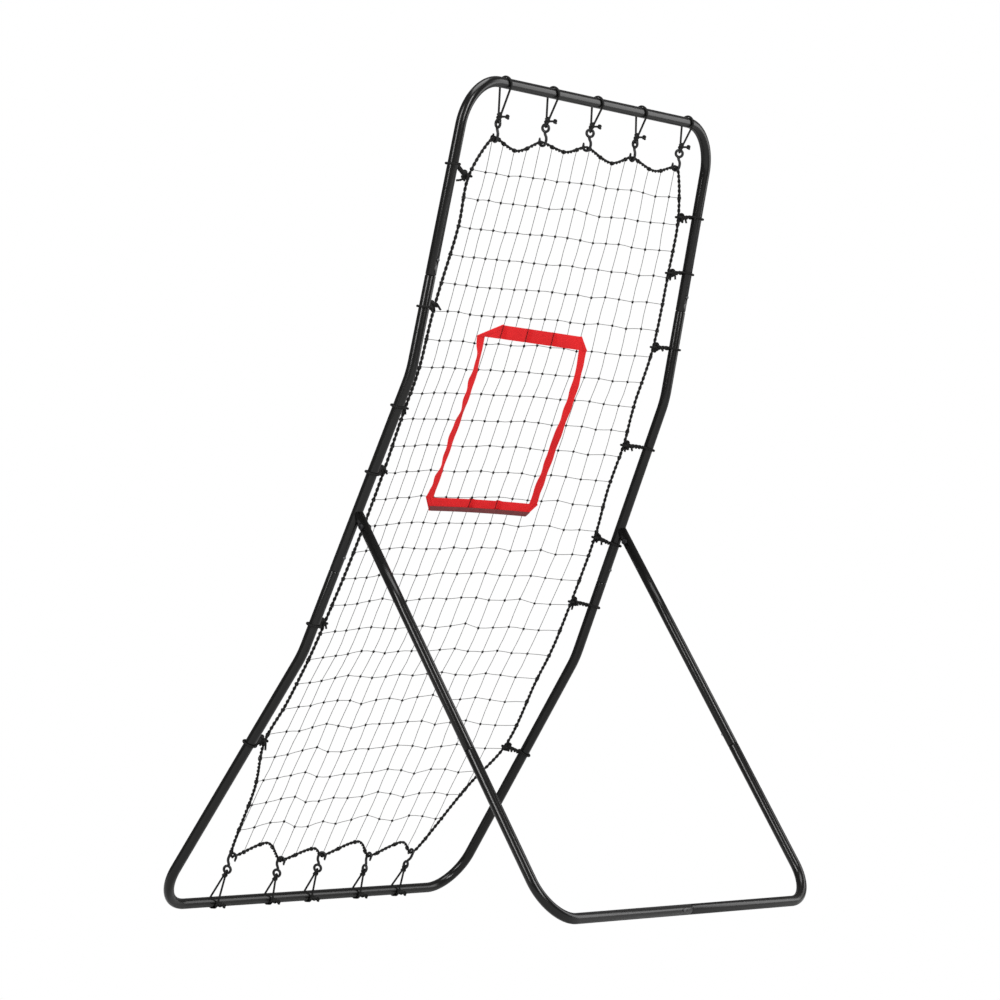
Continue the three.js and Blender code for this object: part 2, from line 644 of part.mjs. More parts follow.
/** The net: flat strands fused where they cross, each running out to the border rope. */
function net() {
  const positions = [];
  const faces = [];
  const half = STRAND / 2;
  const quad = (a, b, c, d) => faces.push(a, b, c, a, c, d);
  const isCrease = (along) => [CREASE_LOW, CREASE_HIGH].some((at) => Math.abs(along - at) < CREASE_SNAP);
  // four vertices round a strand's section, from [dx, dAlong, dOffset] triples; a knot on a crease
  // reaches from it along the panels on both its sides
  const ring = (flat, shifts) => shifts.map(([dx, dAlong, dOffset]) => {
    const reach = isCrease(flat.y) ? 0 : dAlong * half;
    const point = onNet(flat.clone().add({ x: dx * half, y: reach }), dOffset * half);
    if (reach === 0) point.addScaledVector(panelDirection(panelOf(flat.y + dAlong)), dAlong * half);
    positions.push(point.x, point.y, point.z);
    return positions.length / 3 - 1;
  });
  const bridge = (from, to) => [0, 1, 2, 3].forEach((k) => {
    const next = (k + 1) % 4;
    quad(from[k], from[next], to[next], to[k]);
  });
  const square = [[-1, -1], [1, -1], [1, 1], [-1, 1]];
  const grid = rows.map((j) => Array.from({ length: NET_COLUMNS + 1 }, (_, i) => {
    const flat = crossing(i, j);
    const inside = i > 0 && i < NET_COLUMNS && j > 0 && j < TOP_ROW;
    if (!inside) return { flat };
    const front = ring(flat, square.map(([dx, dAlong]) => [dx, dAlong, 1]));
    const back = ring(flat, square.map(([dx, dAlong]) => [dx, dAlong, -1]));
    quad(front[0], front[1], front[2], front[3]);
    quad(back[3], back[2], back[1], back[0]);
    return {
      flat,
      up: [front[3], front[2], back[2], back[3]],
      down: [front[0], front[1], back[1], back[0]],
      right: [front[2], front[1], back[1], back[2]],
      left: [front[3], front[0], back[0], back[3]],
    };
  }));
  const upright = [[-1, 0, 1], [1, 0, 1], [1, 0, -1], [-1, 0, -1]];
  const level = [[0, 1, 1], [0, -1, 1], [0, -1, -1], [0, 1, -1]];
  const endRing = (from, to, shifts, rope) => ring(strandEnd(from.flat, to.flat, rope), shifts);
  for (let i = 1; i < NET_COLUMNS; i += 1) {
    for (let j = 1; j < TOP_ROW - 1; j += 1) bridge(grid[j][i].up, grid[j + 1][i].down);
    const bottomRope = grid[0][i + 1].flat.clone().sub(grid[0][i - 1].flat).normalize();
    const bottom = endRing(grid[1][i], grid[0][i], upright, bottomRope);
    quad(bottom[3], bottom[2], bottom[1], bottom[0]);
    bridge(bottom, grid[1][i].down);
    const topRope = grid[TOP_ROW][i + 1].flat.clone().sub(grid[TOP_ROW][i - 1].flat).normalize();
    const top = endRing(grid[TOP_ROW - 1][i], grid[TOP_ROW][i], upright, topRope);
    bridge(grid[TOP_ROW - 1][i].up, top);
    quad(...top);
  }
  for (let j = 1; j < TOP_ROW; j += 1) {
    // x falls from column to column, so the next one is on this one's left
    for (let i = 1; i < NET_COLUMNS - 1; i += 1) bridge(grid[j][i + 1].right, grid[j][i].left);
    const sideRope = (i) => grid[j + 1][i].flat.clone().sub(grid[j - 1][i].flat).normalize();
    const right = endRing(grid[j][1], grid[j][0], level, sideRope(0));
    bridge(grid[j][1].right, right);
    quad(...right);
    const left = endRing(grid[j][NET_COLUMNS - 1], grid[j][NET_COLUMNS], level, sideRope(NET_COLUMNS));
    quad(left[3], left[2], left[1], left[0]);
    bridge(left, grid[j][NET_COLUMNS - 1].left);
  }
  const geometry = new THREE.BufferGeometry();
  geometry.setAttribute('position', new THREE.Float32BufferAttribute(positions, 3));
  geometry.setIndex(faces);
  return solid(geometry);
}

/** Target strap: flat webbing in a rectangle with folded top corners, against the net's leg side. */
function targetStrap() {
  const { left, right, bottom, top, lean, width, thickness, fold, ease, netGap } = STRAP;
  const leaning = (points) => {
    const share = (y) => (y - bottom) / (top - bottom);
    return flatPoints(points.map(([x, y]) => [x + lean * share(y), y]));
  };
  const inner = { left: left + width, right: right - width, bottom: bottom + width, top: top - width };
  // the outer and the inner edge, point for point, anticlockwise from the bottom left
  const outside = leaning([
    [left, bottom], [right, bottom], [right, CREASE_HIGH], [right, top - fold], [right - fold, top],
    [left + fold, top], [left, top - fold], [left, CREASE_HIGH], [left, bottom],
  ]);
  const inside = leaning([
    [inner.left, inner.bottom], [inner.right, inner.bottom], [inner.right, CREASE_HIGH],
    [inner.right, inner.top - ease], [inner.right - ease, inner.top], [inner.left + ease, inner.top],
    [inner.left, inner.top - ease], [inner.left, CREASE_HIGH], [inner.left, inner.bottom],
  ]);
  const front = -STRAND / 2 - netGap;
  const positions = [];
  outside.slice(1).forEach((corner, k) => {
    const steps = Math.ceil(corner.distanceTo(outside[k]) / STRAP_STEP);
    for (let step = 0; step < steps; step += 1) {
      const outer = outside[k].clone().lerp(corner, step / steps);
      const nearer = inside[k].clone().lerp(inside[k + 1], step / steps);
      const ring = [onNet(outer, front), onNet(nearer, front)];
      ring.push(onNet(nearer, front - thickness), onNet(outer, front - thickness));
      positions.push(...ring);
    }
  });
  const faces = [];
  positions.forEach((_, a) => {
    // each ring has four corners; the next corner of this one, and the same two of the next ring
    const b = a % 4 === 3 ? a - 3 : a + 1;
    const [c, d] = [b, a].map((corner) => (corner + 4) % positions.length);
    faces.push(a, d, c, a, c, b);
  });
  const geometry = new THREE.BufferGeometry().setFromPoints(positions);
  geometry.setIndex(faces);
  return solid(geometry);
}

// ---- hooks, elastic cords and ties --------------------------------------------------------------

/** The hook's flat outline: eye at the origin, shank and bend below it, opening towards +X. */
function hookOutline() {
  const { eyeRadius, holeRadius, bendDrop, bendRadius, shoulder, tipRise, tipFlare } = HOOK;
  const half = HOOK.wire / 2;
  const outline = new THREE.Shape();
  const neck = Math.asin(half / eyeRadius);
  outline.absarc(0, 0, eyeRadius, -Math.PI / 2 + neck, 1.5 * Math.PI - neck, false);
  // down the shank's outside, round the bend, over the tip and back along the inside
  outline.lineTo(-bendRadius - half, -bendDrop + shoulder);
  outline.absarc(0, -bendDrop, bendRadius + half, Math.PI, 2 * Math.PI, false);
  outline.lineTo(bendRadius + half + tipFlare, -bendDrop + tipRise);
  outline.lineTo(bendRadius - half + tipFlare, -bendDrop + tipRise);
  outline.absarc(0, -bendDrop, bendRadius - half, 0, -Math.PI, true);
  outline.lineTo(-bendRadius + half, -bendDrop + shoulder);
  const hole = new THREE.Path();
  hole.absarc(0, 0, holeRadius, 0, 2 * Math.PI, true);
  outline.holes.push(hole);
  return outline;
}

const ROPE_IN_HOOK = HOOK.bendDrop + HOOK.bendRadius - HOOK.wire / 2 - ROPE_SEAT - ROPE_RADIUS;

/** The centreline of a hoop's bar at a given x. */
function barAt(route, x) {
  const passed = ({ point }, i) => i > 0 && (point.x - x) * (route[i - 1].point.x - x) <= 0;
  const next = route.findIndex(passed);
  const [from, to] = [route[next - 1].point, route[next].point];
  return from.clone().lerp(to, (x - from.x) / (to.x - from.x));
}

/** The line from the rope to the bar that a hook and its cord lie on. */
function hookLine([ropeX, ropeAlong], bar) {
  const rope = onNet({ x: ropeX, y: ropeAlong });
  const pull = bar.clone().sub(rope).normalize();
  return { rope, bar, pull, eye: rope.clone().addScaledVector(pull, ROPE_IN_HOOK) };
}

/** A hook; at no turn it opens towards the ball, and it turns about its own length, in degrees. */
function hook(line, turn) {
  const settings = { depth: HOOK.thickness, bevelEnabled: false, curveSegments: HOOK_STEPS };
  const flat = new THREE.ExtrudeGeometry(hookOutline(), settings).translate(0, 0, -HOOK.thickness / 2);
  const up = line.pull;
  const across = V(0, -1, 0).projectOnPlane(up).normalize().applyAxisAngle(up, radians(turn));
  flat.applyMatrix4(new THREE.Matrix4().makeBasis(across, up, across.clone().cross(up)));
  return solid(flat.translate(line.eye.x, line.eye.y, line.eye.z));
}

/** Elastic cord: up from the hook's eye, round the bar and back, in the plane of the eye and bar. */
function bungee(line) {
  const toBar = line.bar.clone().sub(line.eye);
  const distance = toBar.length();
  const up = toBar.normalize();
  const out = V(1, 0, 0).cross(up).normalize();
  const start = HOOK.eyeRadius + TOUCH;
  const spread = BUNGEE_RADIUS + TOUCH;
  const lean = Math.asin((BUNGEE_BAR_RADIUS - spread) / (distance - start));
  const stations = [];
  const add = (u, o) => stations.push(line.eye.clone().addScaledVector(up, u).addScaledVector(out, o));
  add(start, spread);
  for (let k = 0; k <= BUNGEE_STEPS; k += 1) {
    const angle = -lean + ((Math.PI + 2 * lean) * k) / BUNGEE_STEPS;
    add(distance + BUNGEE_BAR_RADIUS * Math.sin(angle), BUNGEE_BAR_RADIUS * Math.cos(angle));
  }
  add(start, -spread);
  const made = cord(BUNGEE_RADIUS, CORD_SIDES, smoothRoute(stations));
  // the floor presses the foot cords flat
  const floor = new THREE.BoxGeometry(CUTTER_LENGTH, CUTTER_LENGTH, CUTTER_LENGTH);
  return made.subtract(solid(floor.translate(line.bar.x, line.bar.y, -CUTTER_LENGTH / 2)));
}

/** Side tie: a cord from the rope, once round the rail and back to the rope. */
function tie(side, heights) {
  const [ropeAlong, alongRail] = heights.map(distanceUp);
  const { point: centre } = railAt(side, alongRail);
  const edge = rows.map((j) => sidePoint(side > 0 ? rightSide : leftSide, j).toArray());
  const ropeAt = new THREE.Vector2(sideX(edge, ropeAlong), ropeAlong);
  const out = V(side, 0, 0);
  const ball = panelNormal(panelOf(alongRail));
  const lengthwise = panelDirection(panelOf(alongRail));
  const rope = onNet(ropeAt).addScaledVector(out, ROPE_RADIUS + TOUCH + TIE_RADIUS / 2);
  const toRope = rope.clone().sub(centre);
  const aim = Math.atan2(toRope.dot(ball), toRope.dot(out));
  const ring = TUBE_RADIUS + TOUCH + TIE_RADIUS + TIE_SLACK;
  const reach = Math.acos(ring / Math.hypot(toRope.dot(ball), toRope.dot(out)));
  const stations = [rope.clone().addScaledVector(lengthwise, TIE_SPREAD)];
  for (let k = 0; k <= TIE_STEPS; k += 1) {
    const share = k / TIE_STEPS;
    const angle = lerp(aim - reach, aim + reach - 2 * Math.PI, share);
    const point = centre.clone().addScaledVector(out, ring * Math.cos(angle));
    point.addScaledVector(ball, ring * Math.sin(angle));
    stations.push(point.addScaledVector(lengthwise, lerp(TIE_SPREAD, -TIE_SPREAD, share)));
  }
  stations.push(rope.clone().addScaledVector(lengthwise, -TIE_SPREAD));
  return cord(TIE_RADIUS, TIE_SIDES, smoothRoute(stations));
}

// ---- assembly -----------------------------------------------------------------------------------

const paint = { color: 0x1f1f1d, roughness: 0.45, metalness: 0.3 };
const zinc = { color: 0xa9abad, roughness: 0.35, metalness: 0.9 };
const blackSteel = { color: 0x1b1b1b, roughness: 0.5, metalness: 0.6 };
const twine = { color: 0x1a1a1a, roughness: 0.9, metalness: 0 };
const rubberCord = { color: 0x151515, roughness: 0.8, metalness: 0 };
const plastic = { color: 0x141414, roughness: 0.5, metalness: 0 };
const redWebbing = { color: 0xd6262a, roughness: 0.8, metalness: 0 };

const group = new THREE.Group();

function addPiece(name, shape, look) {
  const mesh = new THREE.Mesh(geometryOf(shape), new THREE.MeshStandardMaterial(look));
  mesh.name = name;
  group.add(mesh);
}

addPiece('upper_hoop', upperHoop(), paint);
addPiece('lower_hoop', lowerHoop(), paint);
for (const name of Object.keys(sides)) {
  addPiece(`${name}_mid_rail`, midRail(name), paint);
  addPiece(`${name}_upper_leg`, upperLeg(name), paint);
  addPiece(`${name}_lower_leg`, lowerLeg(name), paint);
  addPiece(`${name}_pivot_tab`, pivotTab(name), paint);
  addPiece(`${name}_pivot_bolt`, pivotBolt(name), blackSteel);
  addPiece(`${name}_lock_nut`, lockNut(name), blackSteel);
  addPiece(`${name}_upper_button`, snapButton(upperJoint[name]), zinc);
  addPiece(`${name}_lower_button`, snapButton(lowerJoint[name]), zinc);
  addPiece(`${name}_leg_button`, snapButton(legJoint[name]), zinc);
}
addPiece('leg_bar_button', snapButton(barJoint), zinc);

addPiece('net', net(), twine);
addPiece('border_rope', borderRope(), twine);
addPiece('target_strap', targetStrap(), redWebbing);

TOP_BAR_PLACES.forEach((barX, i) => {
  const line = hookLine(topRope[2 * i], barAt(upperHoopRoute(), barX));
  addPiece(`top_hook_${i + 1}`, hook(line, TOP_HOOK_TURNS[i]), plastic);
  addPiece(`top_bungee_${i + 1}`, bungee(line), rubberCord);
});
FOOT_BAR_PLACES.forEach((barX, i) => {
  const line = hookLine(footRope.at(-1 - 2 * i), barAt(lowerHoopRoute(), barX));
  addPiece(`foot_hook_${i + 1}`, hook(line, FOOT_HOOK_TURNS[i]), plastic);
  addPiece(`foot_bungee_${i + 1}`, bungee(line), rubberCord);
});
RIGHT_TIES.forEach((spot, i) => addPiece(`right_tie_${i + 1}`, tie(1, spot), twine));
LEFT_TIES.forEach((spot, i) => addPiece(`left_tie_${i + 1}`, tie(-1, spot), twine));

// the origin is under the middle of everything, on the floor
const back = LEG_FOOT_Y + TUBE_RADIUS + BUTTON_PROUD;
const front = -BUNGEE_BAR_RADIUS - BUNGEE_RADIUS;
group.position.y = -(back + front) / 2;

export default group;
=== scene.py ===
import math
import random

import bpy
import numpy as np
from mathutils import Matrix, Vector


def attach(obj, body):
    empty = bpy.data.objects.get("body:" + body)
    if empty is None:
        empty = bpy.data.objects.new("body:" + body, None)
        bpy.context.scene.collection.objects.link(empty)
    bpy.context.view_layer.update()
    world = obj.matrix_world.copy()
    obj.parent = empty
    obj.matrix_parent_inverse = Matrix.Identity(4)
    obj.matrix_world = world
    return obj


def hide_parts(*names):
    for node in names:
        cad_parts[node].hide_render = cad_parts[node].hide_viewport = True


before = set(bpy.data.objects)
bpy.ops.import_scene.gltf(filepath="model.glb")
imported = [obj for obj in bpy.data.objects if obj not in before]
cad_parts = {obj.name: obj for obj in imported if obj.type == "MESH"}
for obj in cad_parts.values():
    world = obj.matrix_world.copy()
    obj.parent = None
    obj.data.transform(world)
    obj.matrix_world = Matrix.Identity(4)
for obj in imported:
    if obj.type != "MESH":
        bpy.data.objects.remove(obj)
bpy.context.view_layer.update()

scene = bpy.context.scene

# ---- camera ----
# The photograph is taken from behind, low down and far off: the leg side faces the camera and the
# right rail is on the left. Lengths below are in millimetres from the middle of the foot bar on
# the floor; row() puts them in the part's own frame, which stands under the part's middle.
FOOT_BAR_Y = -422.0


def row(point):
    return Vector((point[0], point[1] + FOOT_BAR_Y, point[2])) / 1000


CAMERA_PLACE = (5800.2, 4603.6, 369.1)
CAMERA_AZIMUTH = 125.66
CAMERA_ELEVATION = -2.98
CAMERA_ROLL = -0.21
CAMERA_LENS = 141.3
SENSOR = 36.0
CAMERA_SIGHT = 100

camera = bpy.data.objects.new("camera", bpy.data.cameras.new("camera"))
scene.collection.objects.link(camera)
camera.data.lens = CAMERA_LENS
camera.data.sensor_width = SENSOR
camera.location = row(CAMERA_PLACE)
turn = math.radians(CAMERA_AZIMUTH)
tilt = math.radians(CAMERA_ELEVATION)
back = Vector((math.sin(turn) * math.cos(tilt), -math.cos(turn) * math.cos(tilt), math.sin(tilt)))
camera.rotation_mode = "QUATERNION"
level = (-back).to_track_quat("-Z", "Y")
roll = Matrix.Rotation(math.radians(CAMERA_ROLL), 4, "Z").to_quaternion()
camera.rotation_quaternion = level @ roll
camera.data.clip_end = CAMERA_SIGHT
scene.camera = camera

# ---- materials, in Python sums ----
# Each finish is one node material. A socket in an expression adds its own Math node, so a pattern
# reads as the sum that makes it.


class Socket:
    """One output of a node, usable in sums with numbers and other sockets."""

    def __init__(self, finish, output):
        self.finish = finish
        self.output = output

    def math(self, operation, first, second=None):
        values = {0: first} if second is None else {0: first, 1: second}
        return self.finish.node("ShaderNodeMath", {"operation": operation}, values)

    def __add__(self, other):
        return self.math("ADD", self, other)

    def __sub__(self, other):
        return self.math("SUBTRACT", self, other)

    def __rsub__(self, other):
        return self.math("SUBTRACT", other, self)

    def __mul__(self, other):
        return self.math("MULTIPLY", self, other)

    __radd__ = __add__
    __rmul__ = __mul__

    def sin(self):
        return self.math("SINE", self)


class Finish:
    """A node material: a Principled shader, and nodes that feed it."""

    def __init__(self, name, colour, roughness, **plain):
        self.material = bpy.data.materials.new(name)
        self.material.use_nodes = True
        self.tree = self.material.node_tree
        self.shader = self.tree.nodes["Principled BSDF"]
        self.set("Base Color", (*colour, 1))
        self.set("Roughness", roughness)
        for socket, value in plain.items():
            self.set(socket.replace("_", " "), value)

    def set(self, socket, value):
        self.link(self.shader.inputs[socket], value)

    def link(self, place, value):
        if isinstance(value, Socket):
            self.tree.links.new(value.output, place)
        else:
            place.default_value = value

    def node(self, kind, settings=None, sockets=None, output=0):
        made = self.tree.nodes.new(kind)
        for name, value in (settings or {}).items():
            setattr(made, name, value)
        for name, value in (sockets or {}).items():
            self.link(made.inputs[name], value)
        return Socket(self, made.outputs[output])

    def place(self):
        return self.node("ShaderNodeTexCoord", output="Object")

    def noise(self, scale, detail=2.0):
        sockets = {"Vector": self.place(), "Scale": scale, "Detail": detail}
        return self.node("ShaderNodeTexNoise", sockets=sockets)

    def uv(self):
        """Across and along a swept piece: once round it, and millimetres along it."""
        both = self.node("ShaderNodeUVMap", {"uv_map": "sweep"})
        split = self.node("ShaderNodeSeparateXYZ", sockets={"Vector": both})
        nodes = split.output.node.outputs
        return Socket(self, nodes["X"]), Socket(self, nodes["Y"])

    def mix(self, share, first, second):
        """A share from 0 to 1 between two colours; the node's colour sockets are 6, 7 and 2."""
        sockets = {"Factor": share, 6: (*first, 1), 7: (*second, 1)}
        return self.node("ShaderNodeMix", {"data_type": "RGBA"}, sockets, 2)

    def bump(self, height, depth):
        """Raises the surface by a height from 0 to 1, so many millimetres at most."""
        sockets = {"Height": height, "Strength": 1.0, "Distance": depth / 1000}
        self.set("Normal", self.node("ShaderNodeBump", sockets=sockets))


# ---- tubes of the frame ----
# 19 mm steel tube, 1 mm wall, powder-coated satin black: two rails bent twice towards the player,
# a top hoop, a foot hoop, and mid rails that push together with them.
TUBE = 9.5
WALL = 1.0
ROUND = 40
RAIL_CORNERS = [(448, 0, 12.5), (420.6, 316.7, 456.9), (398.7, 540.1, 942), (386, 659.5, 1448.4)]
FOOT, LOW_BEND, HIGH_BEND, TOP = (np.array(corner) for corner in RAIL_CORNERS)
BEND = 204
TOP_CORNER = 88
FOOT_CORNER = 78
UPPER_SEAM = 1251
LOWER_SEAM = 706
SEAM_GAP = 0.5
SPIGOT = 8.1
SPIGOT_LENGTH = 44
BUTTON_FROM_SEAM = 28
BUTTON_HOLE = 3.3
# The last millimetres of a tube, as (distance past its end, radius): a lower end is narrowed to
# slide into the tube above it, any other is cut square and eased.
SPIGOT_SKIN = [(-2.2, TUBE), (-0.6, TUBE - 0.5), (0, SPIGOT), (SPIGOT_LENGTH - 2, SPIGOT),
               (SPIGOT_LENGTH, SPIGOT - 0.7)]
SPIGOT_BORE = [(-5, TUBE - WALL), (-3, SPIGOT - WALL), (SPIGOT_LENGTH, SPIGOT - WALL)]
PLAIN_SKIN = [(-0.5, TUBE), (-0.12, TUBE - 0.12), (0, TUBE - 0.45)]
PLAIN_BORE = [(-0.4, TUBE - WALL), (0, TUBE - WALL + 0.3)]
CLEAN_BLACK, DUSTY_BLACK = (0.003, 0.0029, 0.0028), (0.007, 0.0067, 0.0063)

powder_coat = Finish("black_powder_coat", (0.0115, 0.0112, 0.0108), 0.4, Specular_IOR_Level=0.24)
orange_peel = powder_coat.noise(420, 3)
powder_coat.set("Roughness", orange_peel * 0.02 + powder_coat.noise(14) * 0.04 + 0.2)
dust = powder_coat.noise(6, 4)
powder_coat.set("Base Color", powder_coat.mix(dust * 0.5, CLEAN_BLACK, DUSTY_BLACK))
powder_coat.bump(orange_peel, 0.003)


def unit(vector):
    return vector / np.linalg.norm(vector)


def rounded(points, radii, step=3.0):
    """Points along straight runs joined by round corners; the arcs have a point every few mm."""
    points = [np.array(p, float) for p in points]
    route = [points[0]]
    for i, radius in enumerate(radii, 1):
        into, out = unit(points[i] - points[i - 1]), unit(points[i + 1] - points[i])
        angle = math.acos(np.clip(into @ out, -1, 1))
        start = points[i] - into * radius * math.tan(angle / 2)
        side = unit(out - into * (into @ out))
        count = max(int(radius * angle / step), 4)
        for k in range(count + 1):
            a = angle * k / count
            route.append(start + radius * (into * math.sin(a) + side * (1 - math.cos(a))))
    return np.array(route + [points[-1]])


def cross_directions(route, first=(1, 0, 0)):
    """Two directions across the route at each point, turned as little as can be."""
    runs = np.diff(route, axis=0)
    runs /= np.linalg.norm(runs, axis=1)[:, None]
    tangents = np.vstack([runs[:1], runs[:-1] + runs[1:], runs[-1:]])
    tangents /= np.linalg.norm(tangents, axis=1)[:, None]
    axis = np.array(first, float)
    if abs(axis @ tangents[0]) > 0.9:
        axis = np.array([0, 0, 1.0])
    across = []
    for tangent in tangents:
        axis = unit(axis - tangent * (axis @ tangent))
        across.append(axis)
    across = np.array(across)
    return across, np.cross(tangents, across), tangents


def swept(route, radius, sides=ROUND, first=(1, 0, 0), ends=True):
    """A round skin along a route: vertices, faces, and how far round and along each corner is."""
    route = np.asarray(route, float)
    radius = np.broadcast_to(radius, len(route))
    across, other, _ = cross_directions(route, first)
    angles = np.arange(sides) * 2 * math.pi / sides
    cos, sin = np.cos(angles)[None, :, None], np.sin(angles)[None, :, None]
    rings = route[:, None] + radius[:, None, None] * (cos * across[:, None] + sin * other[:, None])
    length = np.concatenate([[0], np.cumsum(np.linalg.norm(np.diff(route, axis=0), axis=1))])
    faces, marks = [], []
    for k in range(len(route) - 1):
        for i in range(sides):
            j = (i + 1) % sides
            faces.append((k * sides + i, k * sides + j, (k + 1) * sides + j, (k + 1) * sides + i))
            u, v = i / sides, (i + 1) / sides
            marks += [(u, length[k]), (v, length[k]), (v, length[k + 1]), (u, length[k + 1])]
    if ends:
        last = (len(route) - 1) * sides
        faces.append(tuple(range(sides))[::-1])
        faces.append(tuple(range(last, last + sides)))
        marks += [(0, 0)] * sides + [(0, length[-1])] * sides
    return rings.reshape(-1, 3), faces, marks


def piece(name, parts, finish, body, stands_for=(), smooth=60):
    """One visible piece out of several skins, riding on a body."""
    vertices, faces, marks = [], [], []
    base = 0
    for part_vertices, part_faces, part_marks in parts:
        vertices.append(part_vertices)
        faces += [tuple(base + i for i in face) for face in part_faces]
        marks += part_marks
        base += len(part_vertices)
    points = (np.vstack(vertices) + (0, FOOT_BAR_Y, 0)) / 1000
    mesh = bpy.data.meshes.new(name)
    mesh.from_pydata(points.tolist(), [], faces)
    layer = mesh.uv_layers.new(name="sweep")
    layer.data.foreach_set("uv", np.array(marks, np.float32).ravel())
    made = bpy.data.objects.new(name, mesh)
    scene.collection.objects.link(made)
    mesh.materials.append(finish.material)
    mesh.shade_smooth()
    mesh.set_sharp_from_angle(angle=math.radians(smooth))
    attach(made, body)
    if stands_for:
        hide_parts(*stands_for)
    return made


def on_rail(side, along):
    """The rail's centre and direction so far up the frame."""
    corners = [np.array((side * p[0], p[1], p[2])) for p in (FOOT, LOW_BEND, HIGH_BEND, TOP)]
    i = panel_of(along)
    share = (along - PANEL_STARTS[i]) / (PANEL_STARTS[i + 1] - PANEL_STARTS[i])
    return corners[i] + (corners[i + 1] - corners[i]) * share, unit(corners[i + 1] - corners[i])


PROFILE = [np.array((0, p[1], p[2])) for p in (FOOT, LOW_BEND, HIGH_BEND, TOP)]
PANEL_LENGTHS = [np.linalg.norm(b - a) for a, b in zip(PROFILE, PROFILE[1:])]
PANEL_STARTS = np.concatenate([[0], np.cumsum(PANEL_LENGTHS)])


def panel_of(along):
    return 0 if along < PANEL_STARTS[1] else 1 if along < PANEL_STARTS[2] else 2


def steel_tube(route, lower_start=False, lower_end=False):
    """Outside and bore of a tube; a lower end is narrowed past its seam, any other is just cut."""
    route = np.asarray(route, float)
    outside, outer = list(route), [TUBE] * len(route)
    inside, inner = list(route), [TUBE - WALL] * len(route)
    for at_start, lower in ((True, lower_start), (False, lower_end)):
        end, before = (route[0], route[1]) if at_start else (route[-1], route[-2])
        towards = unit(end - before)
        skin, bore = (SPIGOT_SKIN, SPIGOT_BORE) if lower else (PLAIN_SKIN, PLAIN_BORE)
        for points, radii, shape in ((outside, outer, skin), (inside, inner, bore)):
            points.pop(0 if at_start else -1)
            radii.pop(0 if at_start else -1)
            added = [(end + towards * d, r) for d, r in shape]
            if at_start:
                added.reverse()
                points[:0] = [p for p, _ in added]
                radii[:0] = [r for _, r in added]
            else:
                points += [p for p, _ in added]
                radii += [r for _, r in added]
    out_skin = swept(outside, np.array(outer), ends=False)
    in_skin = swept(inside, np.array(inner), ends=False)
    count = len(out_skin[0])
    faces = out_skin[1] + [tuple(count + i for i in face[::-1]) for face in in_skin[1]]
    marks = out_skin[2] + in_skin[2]
    last_out, last_in = count - ROUND, count + len(in_skin[0]) - ROUND
    for i in range(ROUND):
        j = (i + 1) % ROUND
        faces.append((j, i, count + i, count + j))
        faces.append((last_out + i, last_out + j, last_in + j, last_in + i))
        marks += [(0, 0)] * 8
    return np.vstack([out_skin[0], in_skin[0]]), faces, marks


def rod_cutter(name, centre, direction, radius, length, sides=32):
    """A round tool for cutting a hole; it is deleted after use."""
    direction = unit(np.array(direction, float))
    ends = [centre - direction * length / 2, centre + direction * length / 2]
    vertices, faces, _ = swept(ends, radius, sides, first=(0, 0.6, 0.8))
    return cutter_mesh(name, vertices, faces)


def cutter_mesh(name, vertices, faces):
    mesh = bpy.data.meshes.new(name)
    mesh.from_pydata(((np.asarray(vertices) + (0, FOOT_BAR_Y, 0)) / 1000).tolist(), [], faces)
    tool = bpy.data.objects.new(name, mesh)
    scene.collection.objects.link(tool)
    return tool


def finished_mesh(made):
    """A copy of a piece's mesh with its modifiers worked out."""
    bpy.context.view_layer.update()
    graph = bpy.context.evaluated_depsgraph_get()
    return bpy.data.meshes.new_from_object(made.evaluated_get(graph))


def cut(made, tools):
    """Cuts the tools out of a piece and throws them away."""
    for tool in tools:
        change = made.modifiers.new("cut", "BOOLEAN")
        change.operation = "DIFFERENCE"
        change.solver = "EXACT"
        change.object = tool
    done = finished_mesh(made)
    made.modifiers.clear()
    old = made.data
    made.data = done
    bpy.data.meshes.remove(old)
    for tool in tools:
        bpy.data.objects.remove(tool)


def button_hole(joint):
    centre, out, _ = joint
    return rod_cutter("drill", centre + out * TUBE, out, BUTTON_HOLE, TUBE)


def rail_joint(side, seam):
    """A snap button's place on a rail: the tube's centre, the way out, and the way along."""
    centre, along = on_rail(side, seam + BUTTON_FROM_SEAM)
    return centre, -unit(np.cross((1, 0, 0), along)), along


SIDES = {"left": -1, "right": 1}
upper_joints = {name: rail_joint(side, UPPER_SEAM) for name, side in SIDES.items()}
lower_joints = {name: rail_joint(side, LOWER_SEAM) for name, side in SIDES.items()}

ends = [on_rail(side, UPPER_SEAM + SEAM_GAP)[0] for side in (1, -1)]
hoop_top = rounded([ends[0], TOP, TOP * (-1, 1, 1), ends[1]], [TOP_CORNER] * 2)
made = piece("upper_hoop_tube", [steel_tube(hoop_top)], powder_coat, "frame",
             ["upper_hoop"])
cut(made, [button_hole(joint) for joint in upper_joints.values()])

for name, side in SIDES.items():
    start, end = on_rail(side, LOWER_SEAM + SEAM_GAP)[0], on_rail(side, UPPER_SEAM)[0]
    route = rounded([start, HIGH_BEND * (side, 1, 1), end], [BEND])
    made = piece(f"{name}_mid_rail_tube", [steel_tube(route, lower_end=True)], powder_coat,
                 "frame", [f"{name}_mid_rail"])
    cut(made, [button_hole(upper_joints[name]), button_hole(lower_joints[name])])

ends = [on_rail(side, LOWER_SEAM)[0] for side in (1, -1)]
mirror = np.array((-1, 1, 1))
hoop_foot = rounded([ends[0], LOW_BEND, FOOT, FOOT * mirror, LOW_BEND * mirror, ends[1]],
                    [BEND, FOOT_CORNER, FOOT_CORNER, BEND])
made = piece("lower_hoop_tube", [steel_tube(hoop_foot, lower_start=True, lower_end=True)],
             powder_coat, "frame", ["lower_hoop"])
cut(made, [button_hole(joint) for joint in lower_joints.values()])

